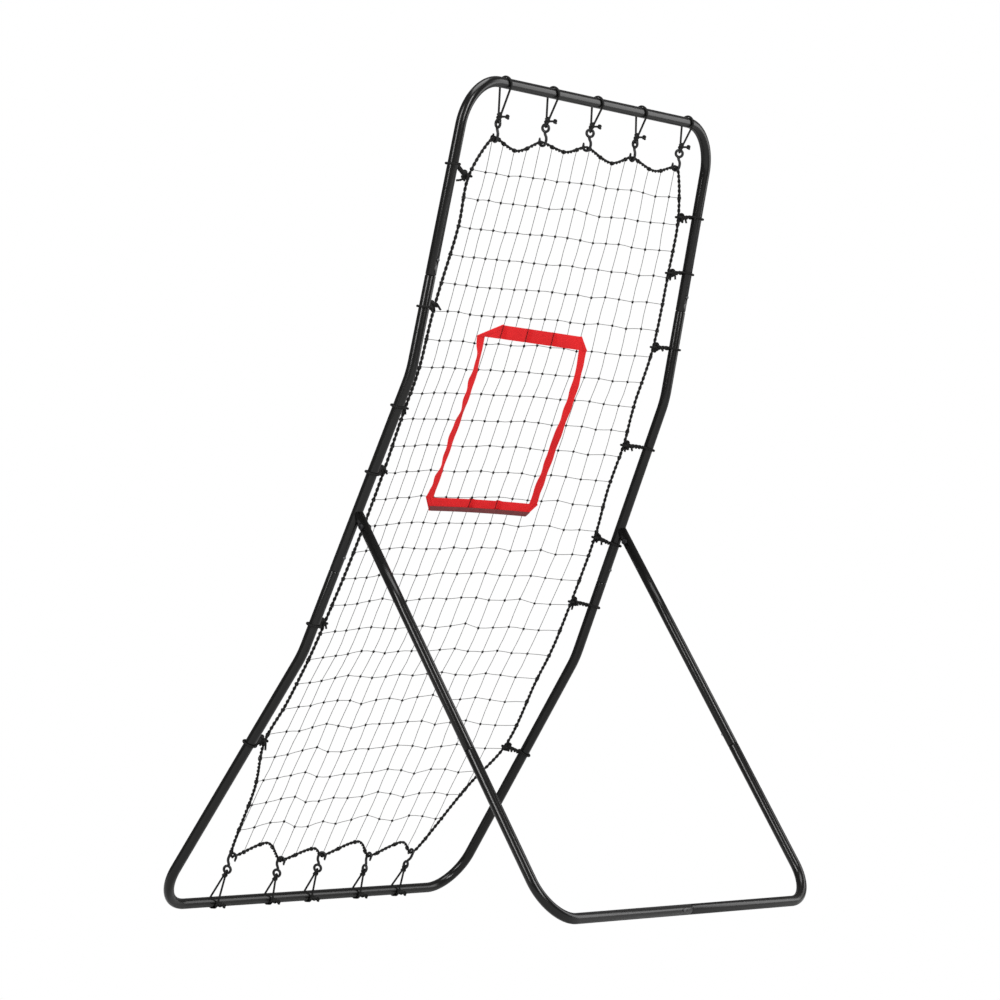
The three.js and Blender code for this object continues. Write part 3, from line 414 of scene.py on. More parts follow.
# ---- tubes of the rear leg ----
# A U of the same tube that swings on the rails. Its upper ends are cut to the rail's round and
# slotted in front for the pivot tab; the foot half joins in the middle of its bar.
LEG_FOOT = np.array((422.3, 844.8, TUBE * math.cos(math.pi / 12)))
LEG_CORNER = 75
LEG_AIM = 817.4
LEG_SEAM = 479.5
LEG_MIDDLE = 200
PIVOT_REACH = 31
COPE_GAP = 0.4
COPE_SIDES = 64
SLOT_WIDTH = 6.2
SLOT_PAST_TOP = 5
SLOT_BELOW_PIVOT = 4
LEG_JOINTS = {}


def leg_line(side):
    """Where the leg's centreline meets the rail's, and its direction down."""
    top = on_rail(side, LEG_AIM)[0]
    return top, unit(LEG_FOOT * (side, 1, 1) - top)


def leg_end_tools(side):
    """The rail's round and the tab's slot, as tools for the upper end of a leg."""
    top, down = leg_line(side)
    rail = rod_cutter("cope", *on_rail(side, LEG_AIM), TUBE + COPE_GAP, 8 * TUBE, COPE_SIDES)
    front = unit(np.cross(down, (1, 0, 0)))
    across = np.array((SLOT_WIDTH / 2, 0, 0))
    pivot, flat_down = top + down * PIVOT_REACH, unit(down * (0, 1, 1))
    corners = [pivot + flat_down * d + front * f + across * a
               for d in (-PIVOT_REACH - SLOT_PAST_TOP, SLOT_BELOW_PIVOT)
               for f in (0, 2 * TUBE) for a in (-1, 1)]
    faces = [(0, 2, 3, 1), (4, 5, 7, 6), (0, 1, 5, 4), (2, 6, 7, 3), (0, 4, 6, 2), (1, 3, 7, 5)]
    bolt = rod_cutter("bolt hole", pivot, (1, 0, 0), BUTTON_HOLE, 4 * TUBE)
    return [rail, cutter_mesh("slot", corners, faces), bolt]


bar_button = np.array((BUTTON_FROM_SEAM, *LEG_FOOT[1:]))
BAR_JOINT = (bar_button, np.array((0, 1.0, 0)), np.array((1.0, 0, 0)))
for name, side in SIDES.items():
    top, down = leg_line(side)
    button = top + down * (LEG_SEAM - BUTTON_FROM_SEAM)
    LEG_JOINTS[name] = (button, unit(np.cross(down, (1, 0, 0))), down)
    seam = top + down * LEG_SEAM
    upper = steel_tube([top, top + down * LEG_MIDDLE, seam - down * SEAM_GAP])
    made = piece(f"{name}_upper_leg_tube", [upper], powder_coat, "leg",
                 [f"{name}_upper_leg"])
    cut(made, leg_end_tools(side) + [button_hole(LEG_JOINTS[name])])
    bar_end = np.array((SEAM_GAP if side > 0 else 0, *LEG_FOOT[1:]))
    route = rounded([bar_end, LEG_FOOT * (side, 1, 1), seam], [LEG_CORNER])
    lower = steel_tube(route, lower_start=side < 0, lower_end=True)
    made = piece(f"{name}_lower_leg_tube", [lower], powder_coat, "leg",
                 [f"{name}_lower_leg"])
    cut(made, [button_hole(LEG_JOINTS[name]), button_hole(BAR_JOINT)])

# ---- the net's surface and the border rope ----
# A 6 mm black rope of two strands, closed into a loop with a whipping of twine and pulled into
# scallops by the hooks and side ties. The taut net hangs in it, 13 mm off the rails at its edges,
# with its middle pulled out further.

# The rope's route, as (x, height in panels): 0 is the foot bar, 1 and 2 the bends, 3 the top bar.
ROPE_TOP = [
    (265, 2.812), (192, 2.785), (124, 2.829), (46, 2.813), (-12, 2.842), (-101, 2.806),
    (-161, 2.838), (-242, 2.808), (-307, 2.835),
]
ROPE_LEFT = [
    (-307, 2.835), (-349, 2.662), (-352, 2.458), (-350, 2.185), (-333, 1.982), (-345, 1.809),
    (-347, 1.645), (-360, 1.457), (-361, 1.207), (-358, 0.916), (-377, 0.601), (-335, 0.436),
    (-268, 0.147),
]
ROPE_BOTTOM = [
    (-268, 0.147), (-223, 0.191), (-138, 0.141), (-82, 0.202), (11, 0.154), (46, 0.183),
    (129, 0.143), (197, 0.216), (279, 0.17),
]
ROPE_RIGHT = [
    (279, 0.17), (323, 0.451), (372, 0.645), (368, 0.788), (375, 0.993), (371, 1.104), (360, 1.289),
    (355, 1.476), (354, 1.648), (359, 1.869), (355, 2.039), (346, 2.227), (320, 2.5), (319, 2.673),
    (265, 2.812),
]
ROPE = 3.1
ROPE_LAND = 6
ROPE_LAY = 19
STRAND_SIDES = 6
STRAND_SPREAD = 1.04
LAY_STEPS = 10
TURN_PITCH = 2.05
NET_OFFSET = 13
NET_BELLY = 28
NET_HALF_WIDTH = 377
BEND_EASE = 40
PANEL_WAYS = [unit(b - a) for a, b in zip(PROFILE, PROFILE[1:])]
PANEL_FACES = [np.cross((1, 0, 0), way) for way in PANEL_WAYS]


def distance_up(height):
    i = min(int(height), 2)
    return PANEL_STARTS[i] + (height - i) * (PANEL_STARTS[i + 1] - PANEL_STARTS[i])


NET_FOOT = min(distance_up(height) for _, height in ROPE_BOTTOM)
NET_TOP = max(distance_up(height) for _, height in ROPE_TOP)


def on_net(x, along, out=0.0):
    """A point of the net's surface, or so far from it towards the ball."""
    i = panel_of(along)
    point = PROFILE[i] + PANEL_WAYS[i] * (along - PANEL_STARTS[i])
    face = PANEL_FACES[i]
    for k in (1, 2):
        past = along - PANEL_STARTS[k]
        if abs(past) < BEND_EASE:
            turning = PANEL_WAYS[k] - PANEL_WAYS[k - 1]
            point = point + turning * (BEND_EASE - abs(past)) ** 2 / (4 * BEND_EASE)
            share = (past + BEND_EASE) / (2 * BEND_EASE)
            face = unit(PANEL_FACES[k - 1] * (1 - share) + PANEL_FACES[k] * share)
    up = min(max((along - NET_FOOT) / (NET_TOP - NET_FOOT), 0), 1)
    belly = NET_BELLY * (1 - (x / NET_HALF_WIDTH) ** 2) * math.sin(math.pi * up)
    return point + face * (NET_OFFSET + belly + out) + (x, 0, 0)


def evenly(points, step):
    """The same line with points at even distances."""
    points = np.asarray(points, float)
    length = np.concatenate([[0], np.cumsum(np.linalg.norm(np.diff(points, axis=0), axis=1))])
    marks = np.linspace(0, length[-1], max(int(length[-1] / step), 2) + 1)
    return np.column_stack([np.interp(marks, length, column) for column in points.T])


def curve_through(points, closed=False, per_span=16):
    """A smooth curve through points, which bends as little past them as a real cord does."""
    points = [np.array(p, float) for p in points]
    around = [points[-1], *points, points[0], points[1]] if closed else (
        [2 * points[0] - points[1], *points, 2 * points[-1] - points[-2]])
    curve = []
    for a, b, c, d in zip(around, around[1:], around[2:], around[3:]):
        spans = [max(np.linalg.norm(q - p), 1e-3) ** 0.5 for p, q in ((a, b), (b, c), (c, d))]
        marks = np.cumsum([0] + spans)
        for t in np.linspace(marks[1], marks[2], per_span, endpoint=False):
            def between(p, q, i, j):
                return p + (q - p) * (t - marks[i]) / (marks[j] - marks[i])
            ab, bc, cd = between(a, b, 0, 1), between(b, c, 1, 2), between(c, d, 2, 3)
            curve.append(between(between(ab, bc, 0, 2), between(bc, cd, 1, 3), 1, 2))
    return np.array(curve + [curve[0] if closed else points[-1]])


def rope_stops(points, way):
    """Points along the top or foot edge; the rope runs straight through each hook."""
    stops = []
    for i, (x, height) in enumerate(points):
        shifts = (-way * ROPE_LAND, way * ROPE_LAND) if i % 2 == 0 else (0,)
        stops += [(x + shift, distance_up(height)) for shift in shifts]
    return stops


rope_flat = rope_stops(ROPE_TOP, -1)
rope_flat += [(x, distance_up(height)) for x, height in ROPE_LEFT[1:-1]]
rope_flat += rope_stops(ROPE_BOTTOM, 1)
rope_flat += [(x, distance_up(height)) for x, height in ROPE_RIGHT[1:-1]]
rope_edge = curve_through(rope_flat, closed=True, per_span=24)
rope_line = evenly([on_net(x, along) for x, along in rope_edge], 2)


def laid(path, radius, strands, pitch):
    """Strands laid round each other along a path, as a list of skins."""
    path = evenly(path, pitch / LAY_STEPS)
    across, other, _ = cross_directions(path)
    length = np.concatenate([[0], np.cumsum(np.linalg.norm(np.diff(path, axis=0), axis=1))])
    strand = radius / (1 + 1 / math.sin(math.pi / strands)) if strands > 2 else radius / 2
    skins = []
    for k in range(strands):
        angle = 2 * math.pi * (k / strands + length / pitch)[:, None]
        centre = path + (radius - strand) * (np.cos(angle) * across + np.sin(angle) * other)
        skins.append(swept(centre, strand * STRAND_SPREAD, STRAND_SIDES))
    return skins


def wound(centre, axis, radius, cord, turns):
    """Turns of cord wound tight round something, as one skin."""
    axis = unit(np.array(axis, float))
    across = unit(np.cross(axis, (0, 0, 1)))
    other = np.cross(axis, across)
    angle = np.linspace(0, 2 * math.pi * turns, int(12 * turns) + 1)[:, None]
    along = (angle / (2 * math.pi * turns) - 0.5) * turns * cord * TURN_PITCH
    line = centre + radius * (np.cos(angle) * across + np.sin(angle) * other) + along * axis
    return swept(line, cord, STRAND_SIDES)


rope_fibre = Finish("black_rope", (0.006, 0.006, 0.006), 0.85, Specular_IOR_Level=0.1,
                    Sheen_Weight=0.02)
ROPE_DEEP, ROPE_FADED = (0.0035, 0.0035, 0.0035), (0.014, 0.0135, 0.013)
YARNS_ROUND, YARNS_ALONG = 37.7, 3.2
round_it, along_it = rope_fibre.uv()
yarns = (round_it * YARNS_ROUND + along_it * YARNS_ALONG).sin() * 0.5 + 0.5
rope_fuzz = rope_fibre.noise(900, 4)
rope_fibre.set("Base Color", rope_fibre.mix(rope_fuzz, ROPE_DEEP, ROPE_FADED))
rope_fibre.bump(yarns * 0.7 + rope_fuzz * 0.5, 0.25)

WHIPPING = 22
TWINE = 0.5
joined_at = rope_line[4]
rope_skins = laid(rope_line, ROPE, 2, ROPE_LAY)
rope_skins.append(wound(joined_at, rope_line[8] - rope_line[1], ROPE + TWINE, TWINE, WHIPPING))
piece("border_rope_loop", rope_skins, rope_fibre, "frame", ["border_rope"])

# ---- knotted net ----
# Black twine, 1 mm thick, tied into a mesh of about 42 by 51 mm with a knot at every crossing. It
# has sixteen upright strands and twenty-six level ones, and each is lashed to the border rope.
COLUMNS = 16
UPPER_ROWS = 17
LOWER_ROWS = 9
ROWS = UPPER_ROWS + LOWER_ROWS
FIRST_ROW = 1450
UPPER_PITCH = 50.4
LOWER_PITCH = 53.8
# The outermost upright strands, as (distance up the frame, x).
RIGHT_COLUMN = [(60, 288), (375, 318), (483, 330), (644, 322), (843, 313), (1046, 320),
                (1250, 295), (1450, 272)]
LEFT_COLUMN = [(60, -338), (300, -327), (402, -308), (511, -292), (590, -300), (743, -316),
               (893, -307), (1046, -291), (1151, -300), (1350, -309), (1450, -305)]
COLUMN_CROWDING = 0.09
ROW_TILT, TILT_SPAN = 7, 300
TOP_EDGE, TOP_FOLLOW, TOP_FADE = 1504, 0.32, 0.94
FOOT_EDGE, FOOT_FOLLOW, FOOT_FADE = 94, 0.65, 0.9
KNOT_JITTER = 1.6
KNOT_FROM_ROPE = 9
KNOT_CORD, KNOT_SIZE, KNOT_DEPTH = 0.85, 0.72, 1.6
SLACK_ASIDE, SLACK_OUT = 0.7, 0.8
STRAND_REACH = 2.4
CROSSING_STEPS = 160
LASHING_CORD, LASHING_TURNS, LASHING_GAP = 0.8, 2.6, 0.1
rng = random.Random(7)


def column_x(i, along):
    """Upright strand i's place; the strands stand a little closer together towards the right."""
    right, left = (np.interp(along, *zip(*marks)) for marks in (RIGHT_COLUMN, LEFT_COLUMN))
    share = (i - 1) / (COLUMNS - 1)
    share += COLUMN_CROWDING * share * (share - 1)
    return right + (left - right) * share


def row_along(j, x):
    """Level strand j's height: near the ends the rows wave with the rope's scallops."""
    if j <= UPPER_ROWS:
        along = FIRST_ROW - UPPER_PITCH * (j - 1)
    else:
        along = FIRST_ROW - UPPER_PITCH * (UPPER_ROWS - 1) - LOWER_PITCH * (j - UPPER_ROWS)
    top = np.interp(-x, *zip(*[(-px, distance_up(h)) for px, h in ROPE_TOP])) - TOP_EDGE
    foot = np.interp(x, *zip(*[(px, distance_up(h)) for px, h in ROPE_BOTTOM])) - FOOT_EDGE
    return (along - ROW_TILT * x / TILT_SPAN + TOP_FOLLOW * TOP_FADE ** j * top
            + FOOT_FOLLOW * FOOT_FADE ** (ROWS - j) * foot)


def inside_rope(x, along):
    a, b = rope_edge, np.roll(rope_edge, -1, axis=0)
    crosses = (a[:, 1] > along) != (b[:, 1] > along)
    with np.errstate(divide="ignore", invalid="ignore"):
        at = a[:, 0] + (along - a[:, 1]) * (b[:, 0] - a[:, 0]) / (b[:, 1] - a[:, 1])
    return bool(np.count_nonzero(crosses & (x < at)) % 2)


def lattice(i, j):
    """The crossing of upright i and level j, as (x, along); past the edges it goes on evenly."""
    along = row_along(j, column_x(i, row_along(j, 0)))
    return np.array((column_x(i, along), along))


crossings = {(i, j): lattice(i, j) for i in range(-1, COLUMNS + 3) for j in range(-1, ROWS + 3)}
knots = {}
for (i, j), flat in crossings.items():
    jitter = np.array([rng.uniform(-KNOT_JITTER, KNOT_JITTER) for _ in range(2)])
    if 1 <= i <= COLUMNS and 1 <= j <= ROWS and inside_rope(*flat):
        nearest = np.min(np.linalg.norm(rope_edge - flat, axis=1))
        if nearest > KNOT_FROM_ROPE:
            knots[i, j] = flat + jitter


def rope_crossing(start, beyond):
    """Where a strand that goes on past its last knot meets the rope."""
    for share in np.linspace(0, 1, CROSSING_STEPS):
        flat = start + (beyond - start) * share
        if not inside_rope(*flat):
            return flat
    return None


def strand_line(flats):
    """A strand's centreline through its knots, with a hint of slack between them."""
    line = []
    for a, b in zip(flats, flats[1:]):
        line.append(on_net(*a))
        middle = (a + b) / 2 + [rng.uniform(-SLACK_ASIDE, SLACK_ASIDE) for _ in range(2)]
        line.append(on_net(*middle, rng.uniform(-SLACK_OUT, SLACK_OUT)))
    return np.array(line + [on_net(*flats[-1])])


def trefoil(centre, across, other, hole, size, depth, points):
    """The line of a pulled-tight overhand knot, its hole along a direction."""
    t = np.linspace(0, 2 * math.pi, points)[:, None]
    return centre + size * ((np.sin(t) + 2 * np.sin(2 * t)) * across
                            + (np.cos(t) - 2 * np.cos(2 * t)) * other
                            - depth * np.sin(3 * t) * hole)


def mesh_knot(flat):
    """A netting knot: a small trefoil of twine, a little turned each time."""
    centre = on_net(*flat)
    face = unit(on_net(*flat, 1) - centre)
    up = unit(on_net(flat[0], flat[1] + 1) - centre)
    side = np.cross(up, face)
    lean = rng.uniform(0, 2 * math.pi)
    a, b = np.cos(lean) * side + np.sin(lean) * up, -np.sin(lean) * side + np.cos(lean) * up
    return swept(trefoil(centre, a, b, face, KNOT_SIZE, KNOT_DEPTH, 19), KNOT_CORD, 5)


net_skins = []
lashings = []
uprights = [[(i, j) for j in range(1, ROWS + 1) if (i, j) in knots] for i in range(1, COLUMNS + 1)]
levels = [[(i, j) for i in range(1, COLUMNS + 1) if (i, j) in knots] for j in range(1, ROWS + 1)]
for chain, step in [(c, (0, 1)) for c in uprights] + [(c, (1, 0)) for c in levels]:
    flats = [knots[key] for key in chain]
    for end, way in ((0, -1), (-1, 1)):
        (i, j), last = chain[end], flats[end]
        beyond = crossings[i + way * step[0], j + way * step[1]]
        further = last + (beyond - last) * STRAND_REACH
        met = rope_crossing(last, further)
        if met is not None:
            flats.insert(0 if way < 0 else len(flats), met)
            lashings.append(met)
    net_skins.append(swept(strand_line(flats), TWINE, 6))
net_skins += [mesh_knot(flat) for flat in knots.values()]
for flat in lashings:
    centre = on_net(*flat)
    near = int(np.argmin(np.linalg.norm(rope_line - centre, axis=1)))
    way = rope_line[(near + 1) % len(rope_line)] - rope_line[near - 1]
    net_skins.append(wound(rope_line[near], way, ROPE + LASHING_GAP, LASHING_CORD, LASHING_TURNS))

net_twine = Finish("net_twine", (0.01, 0.01, 0.01), 0.8, Specular_IOR_Level=0.12)
TWINE_DEEP, TWINE_FADED = (0.005, 0.005, 0.005), (0.018, 0.0175, 0.017)
TWIST_ROUND, TWIST_ALONG = 12.566, 2.6
round_it, along_it = net_twine.uv()
twist = (round_it * TWIST_ROUND + along_it * TWIST_ALONG).sin() * 0.5 + 0.5
twine_fuzz = net_twine.noise(700, 3)
net_twine.set("Base Color", net_twine.mix(twine_fuzz, TWINE_DEEP, TWINE_FADED))
net_twine.bump(twist + twine_fuzz * 0.3, 0.2)
piece("knotted_net", net_skins, net_twine, "frame", ["net"])

# ---- target strap ----
# Red 25 mm polyester webbing, laid in a rectangle on the net's leg side and threaded behind a few
# upright strands. It is folded over at each corner and sewn there; the side runs stand a little
# on edge, and the foot run's lower border is doubled under. The red is the strap's own; its
# darkening in the weave's grooves and in soft blotches is painted shade of the weave and of folds,
# and the doubled border is painted dark grey-red as shade.
STRAP_LEFT, STRAP_RIGHT = -163, 183
STRAP_BOTTOM, STRAP_TOP = 817, 1177
STRAP_LEAN = 11
STRAP_RISE = 3
STRAP_WIDTH = 25
STRAP_THICKNESS = 1.2
STRAP_BACK = TWINE + 0.7 + STRAP_THICKNESS / 2
STRAP_OUTER = STRAP_BACK + 1.5
STRAP_ROUNDING = 0.3
STRAP_BOW = 0.02
TOP_THREADED = (6, 8, 10)
FOOT_THREADED = (8, 10)
DIP_REACH = 7
FOLD_REACH = 60
FOLD_ROLL = 1.35
RIGHT_TWIST, LEFT_TWIST = 11, 4
SETTLED_AT = 30
EDGE_WAVE = 0.07
LONG_WAVE, SHORT_WAVE, SHORT_WAVE_PITCH = 0.4, 0.2, 37
HEM_WIDTH = 9
HEM_INSET = 8
HEM_STAND = 1.4
STITCH = 0.35
STITCH_PITCH = 3
STITCH_SPAN = (0.1, 0.85)
STITCH_SUNK, STITCH_PROUD = 0.25, 0.2
STITCH_REACH, STITCH_INSET, STITCH_STAND = 8.5, 5, 1.1
RIBS_ALONG, WARP_ACROSS = 3.6, 170


def strap_corner(x, along):
    """A point of the rectangle, which leans towards +X with height."""
    return np.array((x + STRAP_LEAN * (along - STRAP_BOTTOM) / (STRAP_TOP - STRAP_BOTTOM), along))


def webbing(start, end, slants, depth, threaded=(), twist=0.0, width=STRAP_WIDTH):
    """A ribbon between two flat points, its middle so deep on the leg side; ends cut on the slant.

    threaded says where it dips to the net's ball side, behind an upright strand; twist says how
    many degrees it stands on edge between its ends, more at every level strand."""
    way = unit(end - start)
    side = np.array((-way[1], way[0]))
    span = np.linalg.norm(end - start)
    count = int(span / 3)
    across = np.linspace(-0.5, 0.5, 9) * width
    half = STRAP_THICKNESS / 2
    rings, places = [], []
    for k in range(count + 1):
        s = span * k / count
        slant = (slants[0] * max(1 - s / FOLD_REACH, 0)
                 + slants[1] * max(1 - (span - s) / FOLD_REACH, 0))
        settled = min(s, span - s, SETTLED_AT) / SETTLED_AT
        wave = (LONG_WAVE * math.cos(2 * math.pi * s / (2 * UPPER_PITCH) + 1)
                + SHORT_WAVE * math.cos(2 * math.pi * s / SHORT_WAVE_PITCH))
        scallop = 1 - math.cos(2 * math.pi * s / UPPER_PITCH)
        drawn_in = 1 - EDGE_WAVE * scallop * settled * (twist > 0)
        lean = math.radians(twist * (1 + wave)) * settled ** 2 * (3 - 2 * settled)
        ring = []
        for surface, columns in ((half, across), (-half, across[::-1])):
            for c in columns:
                flat = start + side * (c * drawn_in * math.cos(lean)) + way * (s + slant * c)
                dips = [math.exp(-(abs(flat[0] - at) / DIP_REACH) ** 4) for at in threaded]
                rounding = STRAP_ROUNDING if abs(c) > 0.49 * width else 0
                bow = STRAP_BOW * width * math.cos(math.pi * c / width)
                edge = (width / 2 - c) * math.sin(lean)
                out = (-depth + (STRAP_BACK + depth) * max(dips + [0]) - bow - edge
                       + surface - math.copysign(rounding, surface))
                ring.append(on_net(*flat, out))
                places.append(((c / STRAP_WIDTH + 0.5), s + slant * c))
        rings.append(ring)
    around = len(rings[0])
    vertices = np.array(rings).reshape(-1, 3)
    faces = []
    for k in range(count):
        for i in range(around):
            j = (i + 1) % around
            here, on = k * around, (k + 1) * around
            faces.append((here + i, here + j, on + j, on + i))
    faces += [tuple(range(around))[::-1], tuple(range(count * around, (count + 1) * around))]
    return vertices, faces, [places[i] for face in faces for i in face]


def fold_edge(centre, way, out):
    """The rolled edge of a fold, which joins the ribbon's two layers."""
    ends = [centre + way * share * 0.5 * STRAP_WIDTH for share in np.linspace(-1, 1, 9)]
    return swept([on_net(*flat, out) for flat in ends], FOLD_ROLL, 12)


def stitches(start, end, out):
    """A row of short lock stitches from one flat point to another."""
    run = end - start
    count = int(np.linalg.norm(run) / STITCH_PITCH)
    skins = []
    for k in range(count):
        a, b = (start + run * (k + share) / count for share in STITCH_SPAN)
        near, far = a * 0.8 + b * 0.2, a * 0.2 + b * 0.8
        line = [on_net(*a, out + STITCH_SUNK), on_net(*near, out - STITCH_PROUD),
                on_net(*far, out - STITCH_PROUD), on_net(*b, out + STITCH_SUNK)]
        skins.append(swept(line, STITCH, 6))
    return skins


red_webbing = Finish("red_webbing", (0.62, 0.016, 0.018), 0.75, Specular_IOR_Level=0.12)
wide, along_it = red_webbing.uv()
ribs = (along_it * RIBS_ALONG).sin() * 0.5 + 0.5
warp = (wide * WARP_ACROSS).sin() * 0.5 + 0.5
weave = ribs * 0.5 + warp * 0.5
# Painted shade: the red darkens where the weave's bump is low and in soft blotches that stand for
# the shade of folds.
shade = weave * 0.3 + red_webbing.noise(16, 2) * 0.7
weave_and_fold_shade = red_webbing.mix(shade, (0.36, 0.005, 0.007), (0.6, 0.011, 0.013))
red_webbing.set("Base Color", weave_and_fold_shade)
red_webbing.bump(weave, 0.22)

# The doubled lower border's finish: dark grey-red painted shade, a little lighter along the ribs
# and at random.
shaded_hem_webbing = Finish("red_webbing_hem_painted_shade", (0.1, 0.03, 0.03), 0.8, Specular_IOR_Level=0.12)
HEM_SHADE_DARK, HEM_SHADE_LIGHT = (0.055, 0.02, 0.022), (0.17, 0.035, 0.035)
_, along_it = shaded_hem_webbing.uv()
ribs = (along_it * RIBS_ALONG).sin() * 0.5 + 0.5
hem_ribs_and_shade = ribs * 0.4 + shaded_hem_webbing.noise(70, 3) * 0.6
shaded_hem_webbing.set("Base Color", shaded_hem_webbing.mix(hem_ribs_and_shade, HEM_SHADE_DARK, HEM_SHADE_LIGHT))
shaded_hem_webbing.bump(ribs, 0.22)

middle = STRAP_WIDTH / 2
low_left, low_right, high_left, high_right = (
    strap_corner(x, along) for along in (STRAP_BOTTOM + middle, STRAP_TOP - middle)
    for x in (STRAP_LEFT + middle, STRAP_RIGHT - middle))
high_right = high_right + (0, STRAP_RISE)
long_fold = np.array((-2 * middle, 0))
strap_skins = [
    webbing(high_left, high_right + long_fold, (1, -3), STRAP_OUTER,
            [column_x(i, high_left[1]) for i in TOP_THREADED]),
    webbing(low_left, low_right, (-1, 1), STRAP_OUTER,
            [column_x(i, low_left[1]) for i in FOOT_THREADED]),
    webbing(low_left, high_left, (1, -1), STRAP_BACK, twist=LEFT_TWIST),
    webbing(low_right, high_right - (0, 2 * middle / 3), (-1, 1 / 3), STRAP_BACK,
            twist=RIGHT_TWIST),
]
folds = [(high_left, (1, 1)), (high_right + long_fold, (3, -1)), (low_left, (1, -1)),
         (low_right, (1, 1))]
for corner, way in folds:
    way = np.array(way)
    strap_skins.append(fold_edge(corner, way, -(STRAP_OUTER + STRAP_BACK) / 2))
    inner = corner + (math.copysign(STITCH_INSET, (STRAP_LEFT + STRAP_RIGHT) / 2 - corner[0]),
                      math.copysign(STITCH_INSET, (STRAP_BOTTOM + STRAP_TOP) / 2 - corner[1]))
    strap_skins += stitches(inner - way * STITCH_REACH, inner + way * STITCH_REACH,
                            -STRAP_OUTER - STITCH_STAND)
piece("target_strap_webbing", strap_skins, red_webbing, "frame", ["target_strap"])

# A narrow strip of the doubled border in front of the foot run, painted dark as shade.
hem_down = np.array((0, (HEM_WIDTH - STRAP_WIDTH) / 2))
hem_in = np.array((HEM_INSET, 0))
hem = webbing(low_left + hem_down + hem_in, low_right + hem_down - hem_in, (-1, 1),
              STRAP_OUTER + HEM_STAND, width=HEM_WIDTH)
piece("target_strap_hem_painted_shade", [hem], shaded_hem_webbing, "frame")

# ---- hooks ----
# Ten moulded nylon hooks, each an eye for the elastic cord and an open J for the rope. They are
# smooth mouldings with 5 mm round arms and a blunt tip, and all come out of one mould.
HOOK_WIRE = 2.55
EYE_RING = 6.5
HOOK_BEND = 6.5
HOOK_DROP = 26
HOOK_ARM = [(0.3, -6, 0), (-1.6, -10.5, 0), (-5.2, -15.5, 0), (-6.5, -20.5, 0), (-6.5, -24, 0)]
HOOK_TIP = [(6.5, -25, 0), (6.6, -22.5, 0), (7.4, -19.6, 0)]
TAPER_AT = [0, 0.15, 0.8, 0.96, 1]
TAPER = [2.7, HOOK_WIRE, HOOK_WIRE, 2.0, 1.3]
ROPE_IN_HOOK = 27.3
HOOK_VOXEL = 0.5
TOP_HOOK_TURNS = (-20, 5, 20, -20, 20)
FOOT_HOOK_TURNS = (160, 162, 158, 200, 20)
TOP_BAR_PLACES = (281, 136, -3, -146, -300)
FOOT_BAR_PLACES = (283, 125, 8, -140, -262)


def moulded_hook():
    """The hook's skin about its eye: x towards its opening, y towards the bar, z through."""
    t = np.linspace(0, 2 * math.pi, 41)
    ring = np.column_stack([EYE_RING * np.cos(t), EYE_RING * np.sin(t), 0 * t])
    bend = np.linspace(math.pi, 2 * math.pi, 17)
    arm, tip = (curve_through(points, per_span=6) for points in (HOOK_ARM, HOOK_TIP))
    round_bend = np.column_stack([HOOK_BEND * np.cos(bend), -HOOK_DROP + HOOK_BEND * np.sin(bend),
                                  0 * bend])
    hook_line = evenly(np.vstack([arm, round_bend, tip]), 0.8)
    taper = np.interp(np.linspace(0, 1, len(hook_line)), TAPER_AT, TAPER)
    parts = [swept(ring, HOOK_WIRE, 16, first=(0, 0, 1)),
             swept(hook_line, taper, 16, first=(0, 0, 1))]
    vertices = np.vstack([parts[0][0], parts[1][0]])
    base = len(parts[0][0])
    faces = parts[0][1] + [tuple(base + i for i in face) for face in parts[1][1]]
    blank = cutter_mesh("hook mould", vertices, faces)
    fuse = blank.modifiers.new("fuse", "REMESH")
    fuse.mode = "VOXEL"
    fuse.voxel_size = HOOK_VOXEL / 1000
    ease = blank.modifiers.new("ease", "SMOOTH")
    ease.iterations = 2
    done = finished_mesh(blank)
    vertices = np.empty(3 * len(done.vertices), np.float32)
    done.vertices.foreach_get("co", vertices)
    faces = [tuple(face.vertices) for face in done.polygons]
    bpy.data.objects.remove(blank)
    bpy.data.meshes.remove(done)
    return vertices.reshape(-1, 3) * 1000 - (0, FOOT_BAR_Y, 0), faces


hook_vertices, hook_faces = moulded_hook()
hook_marks = [(0, 0)] * sum(len(face) for face in hook_faces)

hook_plastic = Finish("hook_plastic", (0.006, 0.006, 0.0065), 0.42, Specular_IOR_Level=0.25)
hook_plastic.set("Roughness", hook_plastic.noise(260, 3) * 0.2 + 0.32)
hook_plastic.bump(hook_plastic.noise(1400, 2), 0.04)


def turned_about(vector, axis, degrees):
    return np.array(Matrix.Rotation(math.radians(degrees), 3, Vector(axis)) @ Vector(vector))


def bar_at(route, x):
    """The centre of a hoop's bar at x."""
    for a, b in zip(route, route[1:]):
        if (a[0] - x) * (b[0] - x) <= 0 and abs(a[0] - b[0]) > 1e-6:
            return a + (b - a) * (x - a[0]) / (b[0] - a[0])
    raise ValueError(x)


class HookLine:
    """The line from the rope to the bar that a hook and its cord lie on."""

    def __init__(self, rope_point, bar, turn):
        self.rope = on_net(rope_point[0], distance_up(rope_point[1]))
        self.bar = bar
        self.up = unit(bar - self.rope)
        self.eye = self.rope + self.up * ROPE_IN_HOOK
        ball = np.array((0, -1.0, 0))
        self.across = turned_about(unit(ball - self.up * (ball @ self.up)), self.up, turn)
        self.through = np.cross(self.across, self.up)


